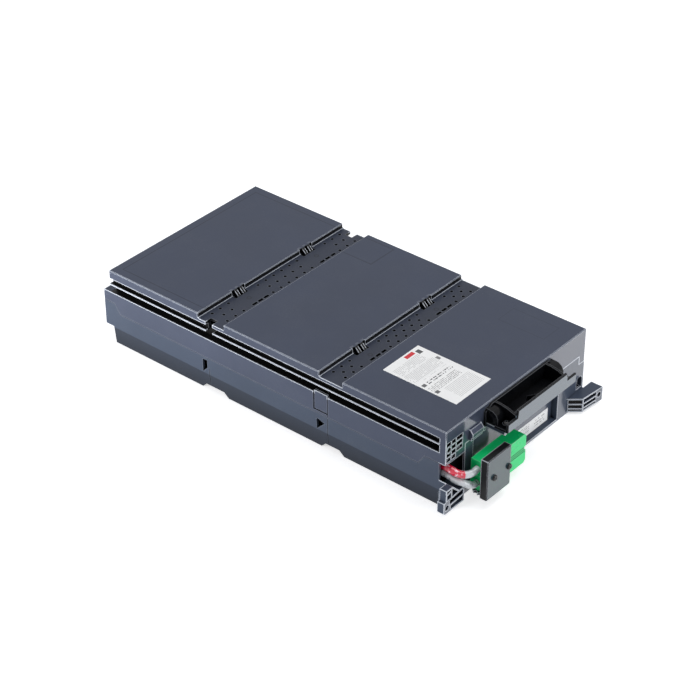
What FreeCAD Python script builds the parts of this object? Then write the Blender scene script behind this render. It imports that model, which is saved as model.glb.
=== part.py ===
import FreeCAD, Part
import math
import os
from FreeCAD import Vector

# Battery cartridge for a 2U uninterruptible power supply.
# Frame: millimetres, +X to the handle end, +Z up, origin at the centre of the underside.

os.makedirs("parts", exist_ok=True)

# ---------------------------------------------------------------- driving sizes
BODY_LENGTH = 412.0      # rear edge of the first lid to the front edge of the last
BODY_WIDTH = 212.0
BODY_HEIGHT = 84.0
WALL = 2.4

# top cover: three lids with two sunken valleys between them
FIRST_LID = 117.2
FIRST_VALLEY = 32.8
MIDDLE_LID = 116.6
SECOND_VALLEY = 27.4
VALLEY_DEPTH = 5.6
LID_STEP_DROP = 4.6      # small ledge at the foot of each lid's front wall
LID_STEP_OUT = 1.2
LID_BEVEL = 0.7

# side rail groove, measured down from the lids
BAND_HEIGHT = 9.0
FIN_DROP = 14.95
FIN_THICKNESS = 1.5
GROOVE_DROP = 24.6
RECESS_DEPTH = 4.5       # above the fin
GROOVE_DEPTH = 8.0       # below the fin
CORNER_BLOCK = 7.3       # closes the groove at the front
NOTCH_START = 9.8        # notch through band and fin, from the first lid's front edge
NOTCH_LENGTH = 8.6

# parting line between cover and tray, heights above the underside
PARTING = 37.5
PARTING_ENDS = 48.0
PARTING_RAMP = 7.0
FRONT_RAISE = 23.4       # length of the raised parting at the front
REAR_RAISE = 5.0
PARTING_FRONT = 57.0
SEAM = 0.45

# tray
REAR_OVERHANG = 8.5
REAR_STEP_HEIGHT = 20.0
REAR_FOOT_SETBACK = 2.0
FOLD_HEIGHT = 19.0
FOLD_DRAFT = 2.0
RELIEF_HEIGHT = 5.3
RELIEF_SLOPE = 5.4
FRONT_POCKET_DEPTH = 6.6
FRONT_POCKET_LEFT = 66.0
FRONT_POCKET_RIGHT = 65.5
FRONT_WALL_LEFT = -78.0  # edges of the cover's front wall where the parting line is raised
FRONT_WALL_RIGHT = 97.0
LATTICE_RIGHT = -81.0    # ribbed corner at the front left
LATTICE_STEP = -89.8
LATTICE_BOTTOM = 49.6
LATTICE_STEP_BOTTOM = 55.2
PEG_OUT = -53.8          # locating peg on the front wall
PEG_HEIGHT = 60.4

# valley perforation
HOLE_RADIUS = 1.6
HOLE_PITCH = 11.4
HOLE_ROW_IN = 5.2        # first row from the foot of the lid wall
HOLES_SHIFT = 1.5
SLOT_LENGTH = 6.4
SLOT_WIDTH = 2.8
SLOT_PITCH = 8.2

# snap windows in the lids' front walls
CLIP_CENTRE = 49.2
WINDOW_WIDTH = 3.4
GUSSET_WIDTH = 3.7
WINDOW_REACH = 5.2

# snap tongue in the cover's lower side wall, and the sunken joint lines of the tray
TONGUE_DEPTH = 1.8
TONGUE_GROOVE = 1.5
TONGUE_BACK = 5.4        # ends of the tongue, from the middle lid's front edge
TONGUE_AHEAD = 9.8
JOINT_LINE = 0.6

# battery blocks, 12 V 5 Ah, lying on their long side
TERMINAL_SPACE_REAR = 51.0    # between the first pair and the middle pair
TERMINAL_SPACE_FRONT = 39.8   # between the middle pair and the front pair
BLOCK_WIDTH = 90.0
BLOCK_HEIGHT = 70.0
BLOCK_GAP = 1.0
BLOCK_END_GAP = 4.4
BLOCK_ROUND = 3.0
BLOCK_SEAM_BACK = 9.0    # seam of a block's lid, behind its terminal end
BLOCK_SEAM = 1.2
BLOCK_SEAM_DEPTH = 0.6
TAB_LENGTH = 6.3
TAB_WIDTH = 6.3
TAB_THICKNESS = 0.8
TAB_SPREAD = 27.0        # from the block's centre line
TAB_DROP = 9.5           # below the block's upper face
PAD_THICKNESS = 2.5
BASE_PAD_MARGIN = 10.0   # from the blocks' edges
TOP_PAD_MARGIN = 14.0    # from the blocks' sides
TOP_PAD_END = 21.0       # from the ends of the lid above

# leads
JUMPER_DIAMETER = 3.6
JUMPER_BEND = 8.0
LEAD_DIAMETER = 4.8
LEAD_BEND = 14.0
LEAD_SIDES = 8
SLEEVE_WALL = 1.0
SLEEVE_CLEARANCE = 0.1
LEAD_SPACING = 7.2       # between the two leads where they leave the tray
LEAD_HEIGHT = 32.6       # of the lower one, above the underside
LEAD_OUT = 97.0          # from the body's centre plane
MARKER_TURN = 15.5       # how far round its bend the red marker reaches
BOOT_LENGTH = 15.0
BOOT_WIDTH = 5.0
BOOT_HEIGHT = 9.0
BOOT_BACK = 0.5          # clear of the block's face
FUSE_LENGTH = 34.0
FUSE_RADIUS = 5.0

# connector, two stacked housings
POLE_SIZE = 16.0
POLE_LENGTH = 61.3
POLE_CHAMFER = 2.6
CONNECTOR_END = -15.7
CONNECTOR_REACH = 22.0   # front of the housings, ahead of the body's front face
CONNECTOR_BASE = 11.5
CONTACT_RADIUS = 3.4
CONTACT_GAP = 8.0        # from the lead's entry to the crimped barrel
THROAT_CLEARANCE = 0.2
MOUTH_DEPTH = 24.0
MOUTH_WALL = 2.6
BLADE_WIDTH = 7.0
BLADE_THICKNESS = 1.6
POLE_GROOVE = 1.0

# connector bracket
PLATE_THICKNESS = 8.0
PLATE_LEFT = -84.0
PLATE_RIGHT = -49.5
PLATE_BOTTOM = 10.4
PLATE_TOP = 53.5
PLATE_SCREW_SPACING = 21.5
PLATE_SCREW_HEIGHT = 31.6
PLATE_SCREW_DEPTH = 3.5  # into the housing
SHELF_THICKNESS = 3.0
SHELF_INSET = 4.0
FLANGE_RISE = 14.0
SCREW_RADIUS = 1.5
SCREW_HEAD_RADIUS = 3.0
SCREW_HEAD_HEIGHT = 2.2
SCREW_HEAD_SLOPE = 1.0

# handle
HANDLE_HALF = 52.0
HANDLE_GRIP_HALF = 37.0
HANDLE_REACH = 27.0      # front of the handle, ahead of the body's front face
HANDLE_BOTTOM = 65.0
HANDLE_SHOULDER = 74.5
HANDLE_TOP = 82.0
HANDLE_SKIN = 2.4
HANDLE_FLANGE = 2.4
HANDLE_FLANGE_DROP = 3.0 # flange below the handle's underside
GRIP_CHANNEL = 4.8
GRIP_LIP = 6.0
GRIP_RIB = 15.0
ARM_WIDTH = 13.0
ARM_LENGTH = 13.0
HANDLE_SCREW_OUT = 45.0
HANDLE_SCREW_BACK = 7.2  # behind the handle's front
HANDLE_BOSS_RADIUS = 3.7
HANDLE_BOSS_HEIGHT = 2.2
LUG_THICKNESS = 4.6
LUG_HALF = 5.5
LUG_CLEARANCE = 0.2
HANDLE_SHOULDER_CUT = 9.0    # sloping upper corners of the flange
HANDLE_SHOULDER_FALL = 4.7

# mounting ears
EAR_BOTTOM = 2.6
LEFT_EAR_BOTTOM = 4.8
EAR_TOP = 17.6
EAR_REACH = 9.0
SILL_OUTER = 29.8        # sill of the cable opening, high at the side wall
SILL_INNER = 20.4
SILL_TURN = 9.5          # length of its slope, from the side wall inward
EAR_THICKNESS = 7.6
EAR_HOLE_RADIUS = 2.75
EAR_HOLE_HEIGHT = 11.0
EAR_HOLE_OUT = 114.0
EAR_SKIN = 1.3
EAR_POCKET = 6.0

# labels
RATING_LABEL_BEHIND = 15.5   # from the last lid's rear edge
RATING_LABEL_AHEAD = 19.3    # from its front edge
RATING_LABEL_LEFT = -67.0
RATING_LABEL_WIDTH = 50.8
FRONT_LABEL_WIDTH = 59.0
FRONT_LABEL_HEIGHT = 13.8
FRONT_LABEL_LIFT = 0.4
LABEL_THICKNESS = 0.3

# ---------------------------------------------------------------- derived places
REAR = -BODY_LENGTH / 2
FRONT = BODY_LENGTH / 2
HALF = BODY_WIDTH / 2
TOP = BODY_HEIGHT
VALLEY = TOP - VALLEY_DEPTH
BAND = TOP - BAND_HEIGHT
FIN_TOP = TOP - FIN_DROP
FIN_BOTTOM = FIN_TOP - FIN_THICKNESS
GROOVE = TOP - GROOVE_DROP
INNER = HALF - WALL
SLIM = HALF - GROOVE_DEPTH - WALL
TAIL = REAR - REAR_OVERHANG
BACK_FOOT = REAR + REAR_FOOT_SETBACK
BLOCK_FRONT = FRONT - CORNER_BLOCK
LID_1 = (REAR, REAR + FIRST_LID)
LID_2 = (LID_1[1] + FIRST_VALLEY, LID_1[1] + FIRST_VALLEY + MIDDLE_LID)
LID_3 = (LID_2[1] + SECOND_VALLEY, FRONT)
LIDS = (LID_1, LID_2, LID_3)
VALLEYS = ((LID_1[1], LID_2[0]), (LID_2[1], LID_3[0]))
PANEL = FRONT - FRONT_POCKET_DEPTH
HANDLE_FRONT = FRONT + HANDLE_REACH
CONNECTOR_FRONT = FRONT + CONNECTOR_REACH
CONNECTOR_X = CONNECTOR_FRONT - POLE_SIZE / 2
SILL_BEND = -HALF + SILL_TURN
TONGUE = (LID_2[1] - TONGUE_BACK, LID_2[1] + TONGUE_AHEAD)
CONNECTOR_LEFT = CONNECTOR_END - POLE_LENGTH
HANDLE_SCREW_X = HANDLE_FRONT - HANDLE_SCREW_BACK
MARKER_END = FRONT - LEAD_OUT + MARKER_TURN   # x + y where the red marker stops
FAR = 300.0              # longer than any piece, for cutting tools

# the blocks fill the case but for the two bays where their terminals face each other;
# those of the first pair face forward, the others face to the rear
BLOCK_1 = REAR + BLOCK_END_GAP + WALL
BLOCKS_END = PANEL - 2 * WALL
BLOCK_LENGTH = (BLOCKS_END - BLOCK_1 - TERMINAL_SPACE_REAR - TERMINAL_SPACE_FRONT) / 3
BLOCK_2 = BLOCK_1 + BLOCK_LENGTH + TERMINAL_SPACE_REAR
BLOCK_3 = BLOCK_2 + BLOCK_LENGTH + TERMINAL_SPACE_FRONT
BLOCK_SPANS = [(x, x + BLOCK_LENGTH) for x in (BLOCK_1, BLOCK_2, BLOCK_3)]
REAR_BAY = (BLOCK_1 + BLOCK_LENGTH, BLOCK_2)
FRONT_BAY = (BLOCK_2 + BLOCK_LENGTH, BLOCK_3)
BLOCK_FLOOR = WALL + PAD_THICKNESS
BLOCK_CEILING = BLOCK_FLOOR + BLOCK_HEIGHT
TAB_HEIGHT = BLOCK_CEILING - TAB_DROP
FRONT_LABEL_FOOT = WALL + FRONT_LABEL_LIFT


def box(x0, x1, y0, y1, z0, z1):
    return Part.makeBox(x1 - x0, y1 - y0, z1 - z0, Vector(x0, y0, z0))


def prism(points, start, length):
    """A closed outline, given as 3-D points, extruded by the vector length."""
    moved = [Vector(*p) + start for p in points]
    return Part.Face(Part.makePolygon(moved + moved[:1])).extrude(length)


def along_x(outline, x0, x1):
    """Outline of (y, z) points between two places along the body."""
    return prism([(0, y, z) for y, z in outline], Vector(x0, 0, 0), Vector(x1 - x0, 0, 0))


def along_y(outline, y0, y1):
    """Outline of (x, z) points between two places across the body."""
    return prism([(x, 0, z) for x, z in outline], Vector(0, y0, 0), Vector(0, y1 - y0, 0))


def along_z(outline, z0, z1):
    """Outline of (x, y) points between two heights."""
    return prism([(x, y, 0) for x, y in outline], Vector(0, 0, z0), Vector(0, 0, z1 - z0))


def rod(radius, start, axis, length):
    return Part.makeCylinder(radius, length, Vector(*start), Vector(*axis))


def facet_rod(radius, start, axis, length, sides=8):
    """Regular prism about an axis, for hidden bores and shanks and for repeated holes."""
    direction = Vector(*axis)
    across = Vector(0, 0, 1) if abs(direction.z) < 0.5 else Vector(1, 0, 0)
    other = direction.cross(across)
    corners = []
    for index in range(sides):
        angle = 2 * math.pi * (index + 0.5) / sides
        corners.append(Vector(*start) + (across * math.cos(angle) + other * math.sin(angle)) * radius)
    return Part.Face(Part.makePolygon(corners + corners[:1])).extrude(direction * length)


def both_sides(shape):
    """The shape and its mirror image across the body's centre plane."""
    return [shape, shape.mirror(Vector(0, 0, 0), Vector(0, 1, 0))]


def union(shapes):
    return shapes[0].fuse(shapes[1:]).removeSplitter()


def edges_where(shape, test):
    return [edge for edge in shape.Edges if test(edge.BoundBox)]


def save(name, shapes):
    """Write one node, a single solid or a group of like solids."""
    shape = shapes[0] if len(shapes) == 1 else Part.makeCompound(shapes)
    shape.exportStep("parts/" + name + ".step")
    solids = shape.Solids
    volume = sum(solid.Volume for solid in solids) / 1000.0
    print(name, len(solids), "solids", round(volume, 2), "cm3", "valid", shape.isValid())


def mirrored_outline(side):
    """Right-hand (y, z) points from the top down, closed by their mirror image."""
    return side + [(-y, z) for y, z in reversed(side)]


# ---------------------------------------------------------------- parting line
def parting_outline(lift):
    """(x, z) outline of the space above the parting line, raised by lift at the front."""
    rear_rise = REAR + REAR_RAISE
    front_rise = FRONT - FRONT_RAISE
    return [
        (TAIL - WALL, PARTING_ENDS + lift),
        (rear_rise, PARTING_ENDS + lift),
        (rear_rise + PARTING_RAMP, PARTING + lift),
        (front_rise - PARTING_RAMP, PARTING + lift),
        (front_rise, PARTING_ENDS + lift),
        (FAR, PARTING_ENDS + lift),
        (FAR, TOP + WALL),
        (TAIL - WALL, TOP + WALL),
    ]


def cover_space():
    """Everything that belongs to the cover: above the parting line, less the front wall."""
    above = along_y(parting_outline(0), -FAR, FAR)
    front_wall = box(FRONT - FRONT_RAISE, FAR, FRONT_WALL_LEFT, FRONT_WALL_RIGHT, 0, PARTING_FRONT)
    return above.cut(front_wall)


# ---------------------------------------------------------------- top cover
def cover_skin():
    side = [
        (HALF, TOP), (HALF, BAND), (HALF - RECESS_DEPTH, BAND),
        (HALF - RECESS_DEPTH, FIN_TOP), (HALF, FIN_TOP), (HALF, FIN_BOTTOM),
        (HALF - GROOVE_DEPTH, FIN_BOTTOM), (HALF - GROOVE_DEPTH, GROOVE),
        (HALF, GROOVE), (HALF, PARTING),
    ]
    body = along_x(mirrored_outline(side), REAR, FRONT)
    tail = box(TAIL, REAR, -HALF, HALF, PARTING, GROOVE)
    blocks = both_sides(box(BLOCK_FRONT, FRONT, HALF - GROOVE_DEPTH, HALF, GROOVE, BAND))
    skin = union([body, tail] + blocks)
    cuts = []
    for foot, end in VALLEYS:
        ledge = TOP - LID_STEP_DROP
        outline = [(foot, TOP + WALL), (foot, ledge), (foot + LID_STEP_OUT, ledge),
                   (foot + LID_STEP_OUT, VALLEY), (end, VALLEY), (end, TOP + WALL)]
        cuts.append(along_y(outline, -FAR, FAR))
    skin = skin.cut(cuts).removeSplitter()
    return skin.makeChamfer(LID_BEVEL, edges_where(skin, on_lid_rim))


def on_lid_rim(b):
    at_top = b.ZMin > TOP - 0.01
    at_corner = b.ZLength > 1 and b.ZMax > TOP - 0.01 and b.XLength < 0.01
    return at_top or (at_corner and b.YLength < 0.01)


def cover_hollow():
    """The room inside the cover: one wall's thickness within its skin."""
    inside = FRONT - WALL
    spaces = [
        box(REAR + WALL, inside, -SLIM, SLIM, 0, VALLEY - WALL),
        box(TAIL + WALL, inside, -INNER, INNER, 0, GROOVE - WALL),
    ]
    recess_inner = HALF - RECESS_DEPTH - WALL
    low = FIN_TOP + WALL
    spaces.append(box(REAR + WALL, BLOCK_FRONT - WALL, -recess_inner, recess_inner, low, VALLEY - WALL))
    for x0, x1 in LIDS:
        spaces.append(box(x0 + WALL, x1 - WALL, -SLIM, SLIM, VALLEY - 2 * WALL, TOP - WALL))
        spaces.append(box(x0 + WALL, x1 - WALL, -INNER, INNER, BAND + WALL, TOP - WALL))
    return union(spaces)


def valley_openings():
    """Round holes in three staggered rows, and slots beside the snap windows."""
    tools = []
    for foot, end in VALLEYS:
        first = foot + HOLE_ROW_IN
        row_pitch = (end - first - HOLE_ROW_IN - SLOT_WIDTH) / 2
        for row in range(3):
            x = first + row * row_pitch
            offset = 0.5 * (row % 2)
            for step in hole_steps(row % 2):
                y = HOLES_SHIFT + (step + offset) * HOLE_PITCH
                tools.append(facet_rod(HOLE_RADIUS, (x, y, VALLEY - 2 * WALL), (0, 0, 1), 3 * WALL))
        x = first + 2 * row_pitch
        for clip in (-CLIP_CENTRE, CLIP_CENTRE):
            for index in (-1, 0, 1):
                y = clip + HOLES_SHIFT + SLOT_WIDTH + index * SLOT_PITCH
                tools.append(box(x - SLOT_WIDTH / 2, x + SLOT_WIDTH / 2,
                                 y - SLOT_LENGTH / 2, y + SLOT_LENGTH / 2,
                                 VALLEY - 2 * WALL, VALLEY + WALL))
    return tools


def hole_steps(staggered):
    """Places of a row's holes, in pitches from the body's centre plane, with gaps at the clips."""
    if staggered:
        return [-8.17, -7.17, -2.5, -1.5, -0.5, 0.5, 1.5, 6.17, 7.17]
    return [-8.17, -7.17, -6.17, -2.5, -1.5, -0.5, 0.5, 1.5, 2.5, 6.17, 7.17, 8.17]


def gussets_and_windows():
    """At each clip: a ramped block across the lid's foot, cut by three snap windows."""
    ramps = []
    windows = []
    pitch = WINDOW_WIDTH + GUSSET_WIDTH
    for foot, end in VALLEYS:
        for clip in (-CLIP_CENTRE, CLIP_CENTRE):
            low = clip - pitch - WINDOW_WIDTH / 2
            high = clip + pitch + WINDOW_WIDTH / 2
            outline = [(foot - LID_BEVEL, TOP - LID_BEVEL), (foot + 0.4, TOP - LID_BEVEL),
                       (foot + WINDOW_REACH, VALLEY), (foot + WINDOW_REACH, VALLEY - WALL / 2),
                       (foot - LID_BEVEL, VALLEY - WALL / 2)]
            ramps.append(along_y(outline, low, high))
            for index in (-1, 0, 1):
                y = clip + index * pitch
                windows.append(box(foot - WALL - 1, foot + WINDOW_REACH, y - WINDOW_WIDTH / 2,
                                   y + WINDOW_WIDTH / 2, VALLEY - 2 * WALL, TOP - LID_BEVEL))
                windows.append(box(foot - LID_BEVEL - 0.4, foot + WINDOW_REACH, y - WINDOW_WIDTH / 2,
                                   y + WINDOW_WIDTH / 2, TOP - 2 * LID_BEVEL, TOP + 1))
    return ramps, windows


def corner_lattice():
    """Open cells in the front of the left corner block, round a ringed screw hole."""
    rib = 1.1
    depth = CORNER_BLOCK - 1.3
    back = FRONT - depth
    left = -HALF + rib
    columns = [(left, -98.8), (-97.7, -91.9), (-90.8, -82.1)]
    top = TOP - 12.9
    pitch = 5.5
    tools = []
    for column, (y0, y1) in enumerate(columns):
        rows = 3 if column == 2 else 4
        for row in range(rows):
            z1 = top - row * pitch
            tools.append(box(back, FRONT + 1, y0, y1, z1 - pitch + rib, z1))
    ring = rod(3.7, (back, -101.4, TOP - 21.2), (1, 0, 0), depth)
    bore = rod(2.6, (back, -101.4, TOP - 21.2), (1, 0, 0), depth + 1)
    return tools, ring, bore


def side_tongue():
    """Snap tongue on the cover's lower wall: an L-shaped groove round a raised panel."""
    x0, x1 = TONGUE
    depth = TONGUE_DEPTH
    groove = TONGUE_GROOVE
    low = PARTING + 4.0
    cut = union([
        box(x0 - groove, x0, HALF - depth, HALF + 1, low, GROOVE + 1),
        box(x0 - groove, x1, HALF - depth, HALF + 1, low - groove, low),
        box(x1, x1 + groove / 2, HALF - depth, HALF + 1, PARTING - 1, GROOVE + 1),
    ])
    lip = box(x0, x1, HALF - WALL, HALF, GROOVE - WALL, GROOVE + 2)
    return cut, lip


def handle_tabs():
    """Two lugs on the front wall that carry the handle's screws."""
    tabs = []
    for side in (-1, 1):
        y = side * HANDLE_SCREW_OUT
        lug = box(FRONT - WALL, HANDLE_SCREW_X + LUG_HALF / 2, y - LUG_HALF, y + LUG_HALF,
                  HANDLE_BOTTOM - LUG_THICKNESS, HANDLE_BOTTOM)
        tabs.append(lug.cut(facet_rod(SCREW_RADIUS, (HANDLE_SCREW_X, y, GROOVE), (0, 0, 1), BAND_HEIGHT)))
    return tabs


def front_details():
    """Hooded stop and locating peg moulded on the front wall, left of the handle."""
    hood = along_y([(FRONT - WALL, 69.0), (FRONT + 1.4, 69.0), (FRONT + 4.4, 65.2),
                    (FRONT + 4.4, 61.0), (FRONT + 3.0, 61.0), (FRONT + 3.0, 57.6),
                    (FRONT - WALL, 57.6)], -73.0, -57.0)
    peg = rod(2.0, (FRONT - WALL, PEG_OUT, PEG_HEIGHT), (1, 0, 0), WALL + 3.0)
    return [hood, peg]


def top_cover():
    skin = cover_skin().cut(cover_hollow())
    corner = [box(BLOCK_FRONT, FRONT, -HALF, LATTICE_STEP, LATTICE_BOTTOM, BAND),
              box(BLOCK_FRONT, FRONT, LATTICE_STEP, LATTICE_RIGHT, LATTICE_STEP_BOTTOM, BAND)]
    cells, ring, bore = corner_lattice()
    ramps, windows = gussets_and_windows()
    tongue_cut, tongue_lip = side_tongue()
    solid = union([skin] + corner + ramps + both_sides(tongue_lip))
    solid = solid.common(cover_space())
    notch_from = LID_1[1] + NOTCH_START
    notch = box(notch_from, notch_from + NOTCH_LENGTH, HALF - GROOVE_DEPTH, HALF + 1, GROOVE, TOP)
    solid = solid.cut(cells + windows + valley_openings() + both_sides(notch) + both_sides(tongue_cut))
    solid = solid.fuse(ring.common(box(0, FRONT, -HALF + 0.2, 0, 0, TOP))).cut(bore)
    solid = solid.fuse(handle_tabs() + front_details()).removeSplitter()
    return solid


# ---------------------------------------------------------------- lower tray
def sill_band(x0, x1):
    """Wall under the cable opening, one wall thick, sloping down from the side wall."""
    top = [(-HALF, SILL_OUTER), (SILL_BEND, SILL_INNER), (FRONT_WALL_LEFT, SILL_INNER)]
    below = [(y, z - WALL) for y, z in reversed(top)]
    return along_x(top + below, x0, x1)


def above_sill(x0, x1):
    outline = [(-FAR, SILL_OUTER), (-HALF, SILL_OUTER), (SILL_BEND, SILL_INNER),
               (FRONT_WALL_LEFT, SILL_INNER), (FRONT_WALL_LEFT, PARTING_FRONT), (-FAR, PARTING_FRONT)]
    return along_x(outline, x0, x1)


def tray_section(inset, floor):
    """(y, z) outline of the tray, a given distance within its outer face."""
    side = [(HALF - inset, TOP), (HALF - inset, FOLD_HEIGHT), (HALF - FOLD_DRAFT - inset, floor)]
    return mirrored_outline(side)


def reliefs(lift, height):
    """(x, z) outline of the two cross channels under the valleys."""
    places = []
    for foot, end in ((LID_1[1] + 1.3, LID_2[0] + 1.8), (LID_2[1] + 1.1, LID_3[0] + 0.7)):
        places.append([(foot, lift - 1), (foot, lift), (foot + RELIEF_SLOPE, height),
                       (end - RELIEF_SLOPE, height), (end, lift), (end, lift - 1)])
    return places


def tray_body():
    outer = along_x(tray_section(0, 0), TAIL, FRONT)
    outer = outer.cut(box(TAIL - 1, BACK_FOOT, -FAR, FAR, -1, REAR_STEP_HEIGHT))
    inner = along_x(tray_section(WALL, WALL), TAIL + WALL, FRONT - WALL)
    inner = inner.cut(box(TAIL, BACK_FOOT + WALL, -FAR, FAR, 0, REAR_STEP_HEIGHT + WALL))
    for outline in reliefs(WALL, RELIEF_HEIGHT + WALL):
        inner = inner.cut(along_y(outline, -FAR, FAR))
    pocket_back = box(PANEL - WALL, FRONT, -FRONT_POCKET_LEFT - WALL, FRONT_POCKET_RIGHT + WALL, 0, TOP)
    inner = inner.cut(pocket_back)
    inner = inner.cut(sill_band(BLOCK_FRONT - WALL, FRONT))
    body = outer.cut(inner)
    for outline in reliefs(0, RELIEF_HEIGHT):
        body = body.cut(along_y(outline, -FAR, FAR))
    return body


def left_foot():
    """Left ear with its ribbed triangular web, moulded on the tray's front corner."""
    face = FRONT + EAR_REACH
    bottom = LEFT_EAR_BOTTOM
    outline = [(-118.5, bottom + 1.6), (-117.0, bottom), (-89.4, bottom), (-89.4, SILL_INNER),
               (SILL_BEND, SILL_INNER), (-HALF, SILL_OUTER), (-115.5, SILL_OUTER),
               (-115.5, EAR_TOP), (-118.5, EAR_TOP)]
    web = along_x(outline, face - EAR_THICKNESS, face)
    inboard = along_x(outline, FRONT - WALL, face).common(box(0, FAR, -HALF, 0, 0, TOP))
    corner = box(BLOCK_FRONT, FRONT, -HALF, -HALF + WALL, bottom + WALL, SILL_OUTER - WALL)
    back = face - EAR_POCKET
    r = EAR_SKIN
    cells = [
        [(-115.5 + r, SILL_OUTER - r), (-115.5 + r, 25.2), (-108.4, 27.0), (-108.4, SILL_OUTER - r)],
        [(-115.5 + r, 23.8), (-115.5 + r, EAR_TOP + 1.0), (-108.4, EAR_TOP + 1.4), (-108.4, 25.6)],
        [(-107.0, 28.4), (-107.0, EAR_TOP + 1.4), (-99.0, EAR_TOP + 2.2), (-98.2, 20.2)],
        [(-110.2, EAR_TOP - 0.4), (-110.2, 12.0), (-90.6, 13.4), (-90.6, 19.0)],
        [(-108.6, 10.6), (-108.6, bottom + r), (-90.6, bottom + r), (-90.6, 12.0)],
    ]
    foot = union([web, inboard, corner]).cut([along_x(cell, back, face + 1) for cell in cells])
    hollow = box(FRONT - WALL - 1, face - EAR_THICKNESS, -HALF + WALL, -91.8, bottom + WALL, SILL_INNER - WALL)
    return foot.cut(hollow)


def right_ear():
    """Right ear: bent forward and outward, open in front between three level ribs."""
    plan = [(FRONT - WALL, 80.0), (FRONT, 80.0), (FRONT + 11.7, 90.0), (FRONT + 14.5, 119.0),
            (FRONT + 1.0, 119.0), (FRONT + 1.0, HALF), (FRONT - WALL, HALF)]
    ear = along_z(plan, EAR_BOTTOM, EAR_TOP)
    rib = 1.2
    levels = [EAR_BOTTOM + EAR_SKIN, 6.9, 11.9, EAR_TOP - EAR_SKIN + rib]
    cells = []
    for low, high in zip(levels, levels[1:]):
        z0 = low
        z1 = high - rib
        root = [(FRONT + 0.6, 82.0), (FRONT + 10.2, 90.2), (FRONT + 20.0, 90.2), (FRONT + 20.0, 82.0),
                (FRONT + 4.0, 79.0)]
        arm = [(FRONT + 5.0, 91.6), (FRONT + 7.2, 109.6), (FRONT + 20.0, 109.6), (FRONT + 20.0, 91.6)]
        cells.append(along_z(root, z0, z1))
        cells.append(along_z(arm, z0, z1))
    ear = ear.cut(cells)
    bore = rod(EAR_HOLE_RADIUS, (FRONT - 1, EAR_HOLE_OUT, EAR_HOLE_HEIGHT), (1, 0, 0), 20)
    return ear.cut(bore)


def arch_tool(y0, y1, z0, z1):
    """Round-topped opening through the front wall."""
    radius = (y1 - y0) / 2
    middle = (y0 + y1) / 2
    lower = box(FRONT - 2 * WALL, FRONT + 1, y0, y1, z0, z1 - radius)
    head = rod(radius, (FRONT - 2 * WALL, middle, z1 - radius), (1, 0, 0), 2 * WALL + 1)
    return union([lower, head])


def side_windows():
    """Latch openings in the tray's side walls, one below each valley."""
    first = LID_1[1] + 4.1
    second = LID_2[1] - 3.2
    outlines = [
        [(first, 34.0), (first + 5.9, 34.6), (first + 5.9, 26.0), (first + 0.3, 20.0)],
        [(second, 31.6), (second + 9.7, 28.6), (second + 0.4, 19.4)],
    ]
    tools = []
    for outline in outlines:
        tools += both_sides(along_y(outline, INNER - 2, HALF + 1))
    return tools


def tray_ribs():
    """Upright ribs on the floor that keep the battery blocks in their places."""
    ribs = []
    for x0, x1 in BLOCK_SPANS:
        for x in (x0 - 1.9, x1 + 0.3):
            for y in (-66.0, -24.0, 24.0, 66.0):
                ribs.append(box(x, x + 1.6, y - 9, y + 9, WALL, WALL + 12))
    side = BLOCK_WIDTH + BLOCK_GAP / 2 + 0.3
    for x0, x1 in BLOCK_SPANS:
        for x in (x0 + 18, x1 - 18):
            ribs += both_sides(box(x - 0.9, x + 0.9, side, INNER - 0.5, WALL, 22))
    return ribs


def seam_step():
    """Shallow step that makes the parting line read as a dark line all round."""
    line = along_y(parting_outline(-SEAM), -FAR, FAR)
    core = along_x(tray_section(SEAM, 0), TAIL + SEAM, FRONT + WALL)
    return line.cut(core)


def joint_lines():
    """Fine upright lines in the tray's side walls, below the rear window and the tongue."""
    lines = []
    for x, low, high in ((LID_1[1] + 12.3, 8.0, 26.0), (TONGUE[1], 7.0, 36.0)):
        outline = [(x, low), (x + JOINT_LINE, low), (x + JOINT_LINE, high), (x, high)]
        lines += both_sides(along_y(outline, HALF - FOLD_DRAFT - JOINT_LINE, HALF + 1))
    core = along_x(tray_section(JOINT_LINE, 0), TAIL, FRONT)
    return [line.cut(core) for line in lines]


def panel_screw_places():
    """(y, z) of the screws that hold the bracket's flange on the recess panel."""
    z = PLATE_BOTTOM + FLANGE_RISE / 2 + SHELF_THICKNESS / 2
    return [(PLATE_RIGHT - 5.4, z), (-FRONT_POCKET_LEFT + 5.4, z)]


def lower_tray():
    tray = tray_body()
    tray = tray.cut(cover_space())
    tray = tray.cut(box(PANEL, FAR, -FRONT_POCKET_LEFT, FRONT_POCKET_RIGHT, WALL, TOP))
    tray = tray.cut(above_sill(BLOCK_FRONT, FAR))
    tray = tray.cut([arch_tool(95.0, 104.0, 20.0, 33.0), seam_step()] + side_windows() + joint_lines())
    tray = tray.fuse([left_foot(), right_ear()] + tray_ribs())
    bores = [rod(EAR_HOLE_RADIUS, (FRONT - 1, -EAR_HOLE_OUT, EAR_HOLE_HEIGHT), (1, 0, 0), FAR)]
    for y, z in panel_screw_places():
        bores.append(facet_rod(SCREW_RADIUS, (PANEL - 2 * WALL, y, z), (1, 0, 0), 3 * WALL))
    return tray.cut(bores).removeSplitter()


# ---------------------------------------------------------------- battery blocks
def block_places():
    """For each block: its (x0, x1), the y of its centre, and which way its tabs face."""
    places = []
    for (x0, x1), facing in zip(BLOCK_SPANS, (1, -1, -1)):
        for side in (-1, 1):
            places.append((x0, x1, side * (BLOCK_WIDTH + BLOCK_GAP) / 2, facing))
    return places


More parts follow.
